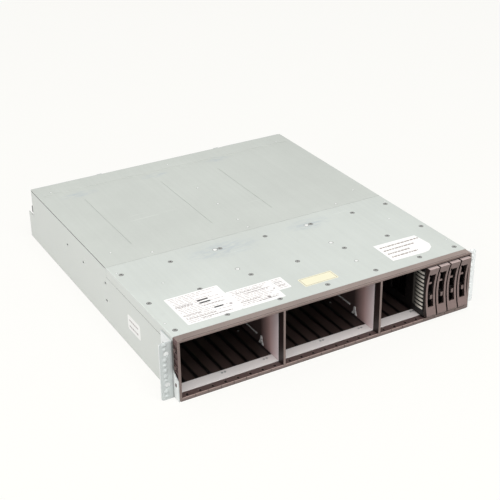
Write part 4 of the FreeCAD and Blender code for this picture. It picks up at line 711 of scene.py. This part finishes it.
def make_side_label():
    """The small label on the left wall, with two rows of plain bars."""
    wall = LEFT_WALL

    def slab(work):
        add_box(work, wall - SKIN, wall, METAL_FRONT + SIDE_LABEL["front"] * MM,
                METAL_FRONT + SIDE_LABEL["rear"] * MM, SIDE_LABEL["bottom"] * MM, SIDE_LABEL["top"] * MM)
        upright = [edge for edge in work.edges if abs(edge.verts[0].co.x - edge.verts[1].co.x) > SKIN / 2]
        bmesh.ops.bevel(work, geom=upright, offset=1.2 * MM, segments=3, affect="EDGES")

    def rows(work):
        pick = random.Random(3)
        half = SIDE_ROWS["half_height"]
        for level in SIDE_ROWS["levels"]:
            depth = SIDE_ROWS["start"]
            while depth < SIDE_ROWS["end"] - 1:
                length = min(pick.uniform(2.0, 5.0), SIDE_ROWS["end"] - depth)
                add_box(work, wall - 1.5 * SKIN, wall - SKIN, METAL_FRONT + depth * MM,
                        METAL_FRONT + (depth + length) * MM, (level - half) * MM, (level + half) * MM)
                depth += length + 1.0

    piece_from("side_label", slab, FINISHES["label_white"])
    piece_from("side_label_print", rows, FINISHES["print_grey"])


# ---------------------------------------------------------------- pressed marks and screw heads

SPOT_MARKS = [(-73, 174, 2.8), (75, 174, 2.8), (-73, 110, 2.5), (75, 110, 2.5), (75, 48, 2.3),
              (-217, 33, 1.2), (-217, 181, 1.2), (-175, 126, 1.2), (188, 130, 1.2), (217, 36, 1.2),
              (217, 181, 1.2)]
COVER_MARKS = [(0, 241, 1.4), (0, 303, 1.4), (0, 369, 1.4), (0, 475, 1.4), (-150, 212, 1.6), (0, 212, 1.6),
               (150, 212, 1.6), (-200, 240, 1.2), (200, 240, 1.2), (-200, 470, 1.2), (200, 470, 1.2)]


SPOT_PROFILE = [(1.35, 0.0, 1), (1.05, 0.02, 1), (1.0, 0.10, 0), (0.5, 0.16, 0), (0.1, 0.17, 0)]
# the rings on finish 1, the dark recess finish, are painted shade: the seat ring stands for the countersink's
# shadow, the recess for its shade
HEAD_PROFILE = [(1.22, 0.0, 1), (1.02, 0.03, 1), (1.0, 0.35, 0), (0.86, 0.85, 0), (0.60, 1.0, 0),
                (0.44, 0.98, 0), (0.40, 0.25, 1), (0.1, 0.2, 1)]
LOBED_RINGS = (5, 6)


def make_spot_marks():
    """Flat spot-weld and clinch marks in the two covers: a low polished cushion in a dull ring."""
    def build(work):
        for x, depth, size in SPOT_MARKS + COVER_MARKS:
            x0, y0 = from_front(x, depth)
            profile = [(share * size * MM, height * MM, finish) for share, height, finish in SPOT_PROFILE]
            add_lathe(work, (x0, y0, TOP), profile, sides=20)

    marks = piece_from("cover_spot_marks", build, FINISHES["spot_bright"])
    marks.data.materials.append(FINISHES["spot_ring"])


def make_screw_heads(name, node, axis, depth_axis, outward, finish="fastener_steel"):
    """Detailed heads in place of plain ones: a domed rim, a six-lobed recess in painted shade and a dark seat
    ring of painted shadow.
    """
    def build(work):
        for low, high in islands(node):
            centre = (low + high) / 2
            seat = list(centre)
            seat[depth_axis] = low[depth_axis] if outward > 0 else high[depth_axis]
            height = (high - low)[depth_axis]
            across = [index for index in range(3) if index != depth_axis]
            radius = max((high - low)[index] for index in across) / 2
            profile = [(share * radius, rise * height, slot) for share, rise, slot in HEAD_PROFILE]
            add_lathe(work, seat, profile, sides=24, axis=axis, lobes=LOBED_RINGS)

    heads = piece_from(name, build, FINISHES[finish])
    heads.data.materials.append(FINISHES["recess_dark"])
    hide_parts(node)


def make_fasteners():
    make_screw_heads("cover_screw_heads", "cover_screws", "Z", 2, 1, "screw_dark")
    make_screw_heads("left_ear_screw_heads", "left_ear_screws", "-X", 0, -1)
    make_screw_heads("right_ear_screw_heads", "right_ear_screws", "X", 0, 1)


EAR_BUMPS = [(79.5, 3.2), (73.0, 2.4), (57.5, 3.4), (50.5, 2.6), (42.5, 3.2), (34.5, 3.0), (28.8, 2.2),
             (12.5, 3.2), (5.5, 2.4)]
BUMP_PROFILE = [(1.15, 0.0), (1.02, 0.25), (0.82, 0.85), (0.52, 1.35), (0.24, 1.58), (0.06, 1.62)]
BUMPS_FROM_EDGE = 7.0 * MM


def make_ear_bumps():
    """The column of pressed bumps down the front of each rack ear, between its holes."""
    for name, side in (("left", -1), ("right", 1)):
        low, high = place(f"{name}_rack_ear")[:2]
        column = side * (abs(low.x if side < 0 else high.x) - BUMPS_FROM_EDGE)

        def build(work):
            for level, reach in EAR_BUMPS:
                profile = [(share * reach * MM, height * MM, 0) for share, height in BUMP_PROFILE]
                add_lathe(work, (column, METAL_FRONT, level * MM), profile, sides=28, axis="-Y")

        finish = nodes[f"{name}_rack_ear"].data.materials[0]
        piece_from(f"{name}_ear_bumps", build, finish)


def rear_face(node, x, z):
    """How far back a node's surface lies at a place, seen from behind."""
    return nodes[node].ray_cast(Vector((x, 1.0, z)), Vector((0, -1, 0)))[1].y


LIGHT_PIPE = [(1.3, -0.2), (1.3, 0.15), (1.0, 0.55), (0.5, 0.75), (0.1, 0.8)]
LIGHT_PITCH = 28.0 * MM
CANISTER_LIGHTS = {"lens_green": 0.0139, "lens_amber": 0.0097}      # over the foot of the case
SUPPLY_LIGHTS = {"lens_green": 0.0, "lens_amber": 5.0 * MM}         # along from the first
FIRST_SUPPLY_LIGHT = -42.0 * MM
SUPPLY_LIGHT_LEVEL = 0.0775


def add_light_pipe(work, node, x, z):
    """One domed light pipe standing out of a rear face."""
    profile = [(radius * MM, height * MM, 0) for radius, height in LIGHT_PIPE]
    add_lathe(work, (x, rear_face(node, x, z), z), profile, sides=16, axis="Y")


def make_status_lights():
    """Unlit light pipes: five green over five amber on each canister, and one of each by each fan."""
    for level in ("lower", "upper"):
        node = f"canister_{level}_case"
        low = place(node)[0]
        for finish, height in CANISTER_LIGHTS.items():
            def build(work):
                for step in range(5):
                    add_light_pipe(work, node, (step - 2) * LIGHT_PITCH, low.z + height)

            piece_from(f"canister_{level}_{finish}", build, FINISHES[finish], body=f"canister_{level}")
    for side in ("left", "right"):
        node = f"psu_{side}_case"
        low, high, middle = place(node)
        for finish, shift in SUPPLY_LIGHTS.items():
            def build(work):
                add_light_pipe(work, node, middle.x + FIRST_SUPPLY_LIGHT + shift, low.z + SUPPLY_LIGHT_LEVEL)

            piece_from(f"psu_{side}_{finish}", build, FINISHES[finish], body=f"psu_{side}")


PLAIN_LEVEL = 0.006     # the middle of a power module's rear face is plain metal at this height
INLET_FROM = 0.045      # a height under the well of the inlet


def make_inlets():
    """Black moulded power inlets: a flange on the rear face, and a liner round the three bright pins."""
    for side in ("left", "right"):
        node = f"psu_{side}_case"
        face = rear_face(node, place(node)[2].x, PLAIN_LEVEL)
        floor = [vertex.co for vertex in nodes[node].data.vertices
                 if abs(vertex.co.y - (face - INLET_DEPTH)) < 0.05 * MM and vertex.co.z > INLET_FROM]
        x0, x1 = min(point.x for point in floor), max(point.x for point in floor)
        z0, z1 = min(point.z for point in floor), max(point.z for point in floor)

        def build(work):
            rim, wall, proud = 1.6 * MM, 0.5 * MM, 0.9 * MM
            for low_x, high_x, low_z, high_z in (
                    (x0 - rim, x1 + rim, z1, z1 + rim), (x0 - rim, x1 + rim, z0 - rim, z0),
                    (x0 - rim, x0, z0, z1), (x1, x1 + rim, z0, z1)):
                add_box(work, low_x, high_x, face, face + proud, low_z, high_z)
            for low_x, high_x, low_z, high_z in (
                    (x0, x1, z1 - wall, z1), (x0, x1, z0, z0 + wall),
                    (x0, x0 + wall, z0 + wall, z1 - wall), (x1 - wall, x1, z0 + wall, z1 - wall)):
                add_box(work, low_x, high_x, face - INLET_DEPTH, face + 0.5 * proud, low_z, high_z)
            add_box(work, x0 + wall, x1 - wall, face - INLET_DEPTH, face - INLET_DEPTH + wall,
                    z0 + wall, z1 - wall)

        piece_from(f"psu_{side}_inlet", build, FINISHES["dark_plastic"], body=f"psu_{side}")


CHIPS = [(-70, 40, 30, 30, 2.4), (48, 55, 24, 24, 2.0), (-24, 20, 16, 22, 1.8), (-24, -16, 14, 20, 1.2),
         (70, 96, 20, 14, 1.6), (-66, 120, 18, 12, 1.2), (84, 10, 10, 18, 1.2), (20, 10, 12, 12, 1.2)]
COIL_ROWS = [(-92, 150, 4), (52, 150, 4)]
NO_PASSIVES = [(0, 110, 68, 80), (68, 0, 26, 78), (-68, 154.5, 52, 14), (76, 154.5, 52, 14)]
CARD_PLACES = (62, 74)


def make_board_parts():
    """Chips, square coils, two standing memory cards and small passives on each canister's board."""
    for level in ("lower", "upper"):
        top = board_top(f"canister_{level}_board")
        pick = random.Random(12)

        def chips(work):
            for x, y, wide, deep, tall in CHIPS:
                rounded_slab(work, (x - wide / 2) * MM, (x + wide / 2) * MM, (y - deep / 2) * MM,
                             (y + deep / 2) * MM, top, top + tall * MM, 0.8 * MM, steps=2)

        def coils(work):
            for x, y, count in COIL_ROWS:
                for step in range(count):
                    corner = x + 13 * step
                    rounded_slab(work, corner * MM, (corner + 9) * MM, y * MM, (y + 9) * MM,
                                 top, top + 4.5 * MM, 1.6 * MM, steps=3)

        def passives(work):
            for _ in range(150):
                x, y = pick.uniform(-98, 98), pick.uniform(-28, 200)
                clear = all(abs(x - taken[0]) > taken[2] / 2 + 2.5 or abs(y - taken[1]) > taken[3] / 2 + 2.5
                            for taken in CHIPS + NO_PASSIVES)
                if clear:
                    long, short = (2.0, 1.1) if pick.random() < 0.5 else (1.1, 2.0)
                    add_box(work, x * MM, (x + long) * MM, y * MM, (y + short) * MM, top, top + 0.8 * MM)

        def card_sockets(work):
            for x in CARD_PLACES:
                add_box(work, (x - 3) * MM, (x + 3) * MM, -36 * MM, 36 * MM, top, top + 4 * MM)

        def cards(work):
            for x in CARD_PLACES:
                add_box(work, (x - 0.6) * MM, (x + 0.6) * MM, -34 * MM, 34 * MM, top + 4 * MM, top + 17 * MM)

        def card_chips(work):
            for x in CARD_PLACES:
                for step in range(5):
                    y = -30 + 13 * step
                    add_box(work, (x - 1.7) * MM, (x - 0.6) * MM, y * MM, (y + 9) * MM,
                            top + 6 * MM, top + 15 * MM)

        body = f"canister_{level}"
        for name, maker, finish in (("chips", chips, "connector_plastic"), ("coils", coils, "coil_grey"),
                                    ("passives", passives, "spot_bright"),
                                    ("sockets", card_sockets, "dark_plastic"),
                                    ("cards", cards, "circuit_board"),
                                    ("card_chips", card_chips, "dark_plastic")):
            piece_from(f"{body}_{name}", maker, FINISHES[finish], body=body)


def make_seam_shadow_strips():
    """Thin black strips in the seams under the long edges of both covers: painted shadow along the seam
    lines.
    """
    cover = place("rear_top_cover")[1]
    runs = {"seam": (SEAM + 4 * MM, cover.y - 3 * MM, cover.z - 1.25 * MM, 0.9 * MM),
            "flange": (METAL_FRONT + 21 * MM, SEAM - 32 * MM, PANEL_LOW.z + 0.1 * MM, 0.55 * MM)}
    for name, wall, side in (("left", LEFT_WALL, -1), ("right", RIGHT_WALL, 1)):
        for run, (y0, y1, z1, height) in runs.items():
            def build(work):
                x0, x1 = sorted((wall + side * 0.03 * MM, wall - side * 0.25 * MM))
                add_box(work, x0, x1, y0, y1, z1 - height, z1)
                bmesh.ops.bevel(work, geom=list(work.edges), offset=0.06 * MM, segments=1, affect="EDGES")

            piece_from(f"{name}_{run}_strip", build, FINISHES["seam_shadow_strip"])


def make_tab_grips():
    """Ribbed rubber grips over the release tabs of the power modules."""
    for side in ("left", "right"):
        body = f"psu_{side}_tab"
        low, high = place(body)[:2]

        def build(work):
            y0, y1 = high.y - 4.2 * MM, high.y + 1.6 * MM
            rounded_slab(work, low.x - 1.0 * MM, high.x, y0, y1,
                         high.z - 6.0 * MM, high.z + 3.5 * MM, 1.4 * MM)
            for step in range(4):
                level = high.z - 4.6 * MM + step * 2.2 * MM
                add_box(work, low.x - 0.6 * MM, high.x - 0.4 * MM, y1, y1 + 0.5 * MM, level, level + 0.9 * MM)

        piece_from(f"{body}_grip", build, FINISHES["dark_plastic"], body=body)


# ---------------------------------------------------------------- studio

VIEW_DEGREES = (29.138, 27.545, -0.837)     # yaw, pitch down and roll of the solved view
CAMERA_AT = (-0.69518, -1.28942, 0.79686)
LENS, SENSOR = 80.65, 36.0
LAMPS = {"overhead": ((-0.25, -1.0, 2.15), (0, 0.1, 0), 1.7, 31.0),
         "left_side": ((-2.1, -0.2, 1.0), (0, 0, 0.04), 1.4, 15.0),
         "low_front": ((0.1, -2.2, 0.45), (0, 0, 0.04), 1.5, 15.0)}
FLOOR_REACH = 6.0
FLOOR_GLOW_SHARE = 0.90


def aim_camera():
    """The photograph's view: from the front left and above, slightly rolled."""
    yaw, pitch, roll = map(math.radians, VIEW_DEGREES)
    ahead = Vector((math.sin(yaw) * math.cos(pitch), math.cos(yaw) * math.cos(pitch), -math.sin(pitch)))
    right = Vector((math.cos(yaw), -math.sin(yaw), 0))
    above = right.cross(ahead)
    side = right * math.cos(roll) + above * math.sin(roll)
    up = above * math.cos(roll) - right * math.sin(roll)
    camera = bpy.data.objects.new("camera", bpy.data.cameras.new("camera"))
    camera.data.lens = LENS
    camera.data.sensor_width = SENSOR
    bpy.context.scene.collection.objects.link(camera)
    turn = Matrix((side, up, -ahead)).transposed().to_4x4()
    camera.matrix_world = Matrix.Translation(CAMERA_AT) @ turn
    bpy.context.scene.camera = camera


def area_light(name, at, target, size, power):
    lamp = bpy.data.lights.new(name, "AREA")
    lamp.shape = "SQUARE"
    lamp.size = size
    lamp.energy = power
    made = bpy.data.objects.new(name, lamp)
    made.location = at
    made.rotation_euler = (Vector(target) - Vector(at)).to_track_quat("-Z", "Y").to_euler()
    bpy.context.scene.collection.objects.link(made)


def white_backdrop(tree, lit_colour, seen_colour, surface):
    """Joins a surface that lights the object with one colour and is seen in another."""
    path = tree.nodes.new("ShaderNodeLightPath")
    seen = tree.nodes.new("ShaderNodeMath")
    seen.operation = "MAXIMUM"
    tree.links.new(path.outputs["Is Camera Ray"], seen.inputs[0])
    glossy = tree.nodes.new("ShaderNodeMath")
    glossy.operation = "MAXIMUM"
    tree.links.new(path.outputs["Is Glossy Ray"], glossy.inputs[0])
    tree.links.new(path.outputs["Is Transmission Ray"], glossy.inputs[1])
    tree.links.new(glossy.outputs[0], seen.inputs[1])
    mix = tree.nodes.new("ShaderNodeMixShader")
    tree.links.new(seen.outputs[0], mix.inputs[0])
    tree.links.new(lit_colour, mix.inputs[1])
    tree.links.new(seen_colour, mix.inputs[2])
    tree.links.new(mix.outputs[0], surface)


def make_world():
    world = bpy.data.worlds.new("studio")
    world.use_nodes = True
    tree = world.node_tree
    lit = tree.nodes["Background"]
    lit.inputs["Color"].default_value = (0.97, 0.985, 1.0, 1.0)
    lit.inputs["Strength"].default_value = 0.62
    seen = tree.nodes.new("ShaderNodeBackground")
    seen.inputs["Color"].default_value = (0.970, 0.960, 0.925, 1.0)
    white_backdrop(tree, lit.outputs[0], seen.outputs[0], tree.nodes["World Output"].inputs["Surface"])
    bpy.context.scene.world = world


def make_floor():
    """A pale floor that keeps a soft shadow: part of its white is its own glow."""
    reach = FLOOR_REACH
    mesh = bpy.data.meshes.new("floor")
    corners = [(-reach, -reach, 0), (reach, -reach, 0), (reach, reach, 0), (-reach, reach, 0)]
    mesh.from_pydata(corners, [], [(0, 1, 2, 3)])
    floor = bpy.data.objects.new("floor", mesh)
    floor.location.z = cad_box[0][2]
    bpy.context.scene.collection.objects.link(floor)
    material = bpy.data.materials.new("floor_paper")
    material.use_nodes = True
    tree = material.node_tree
    tree.nodes.remove(tree.nodes["Principled BSDF"])
    diffuse = tree.nodes.new("ShaderNodeBsdfDiffuse")
    diffuse.inputs["Color"].default_value = (0.60, 0.60, 0.58, 1.0)
    glow = tree.nodes.new("ShaderNodeEmission")
    glow.inputs["Color"].default_value = (0.980, 0.972, 0.945, 1.0)
    seen = tree.nodes.new("ShaderNodeMixShader")
    seen.inputs[0].default_value = FLOOR_GLOW_SHARE
    shadowed = tree.nodes.new("ShaderNodeBsdfDiffuse")
    shadowed.inputs["Color"].default_value = (0.94, 0.94, 0.90, 1.0)
    tree.links.new(shadowed.outputs[0], seen.inputs[1])
    tree.links.new(glow.outputs[0], seen.inputs[2])
    white_backdrop(tree, diffuse.outputs[0], seen.outputs[0], tree.nodes["Material Output"].inputs["Surface"])
    mesh.materials.append(material)


def make_studio():
    bpy.context.scene.view_settings.view_transform = "Standard"
    aim_camera()
    make_world()
    make_floor()
    for name, (at, target, size, power) in LAMPS.items():
        area_light(name, at, target, size, power)


dress_cad_nodes()
make_top_labels()
make_side_label()
make_spot_marks()
make_fasteners()
make_ear_bumps()
make_seam_shadow_strips()
make_status_lights()
make_inlets()
make_board_parts()
make_tab_grips()
make_studio()
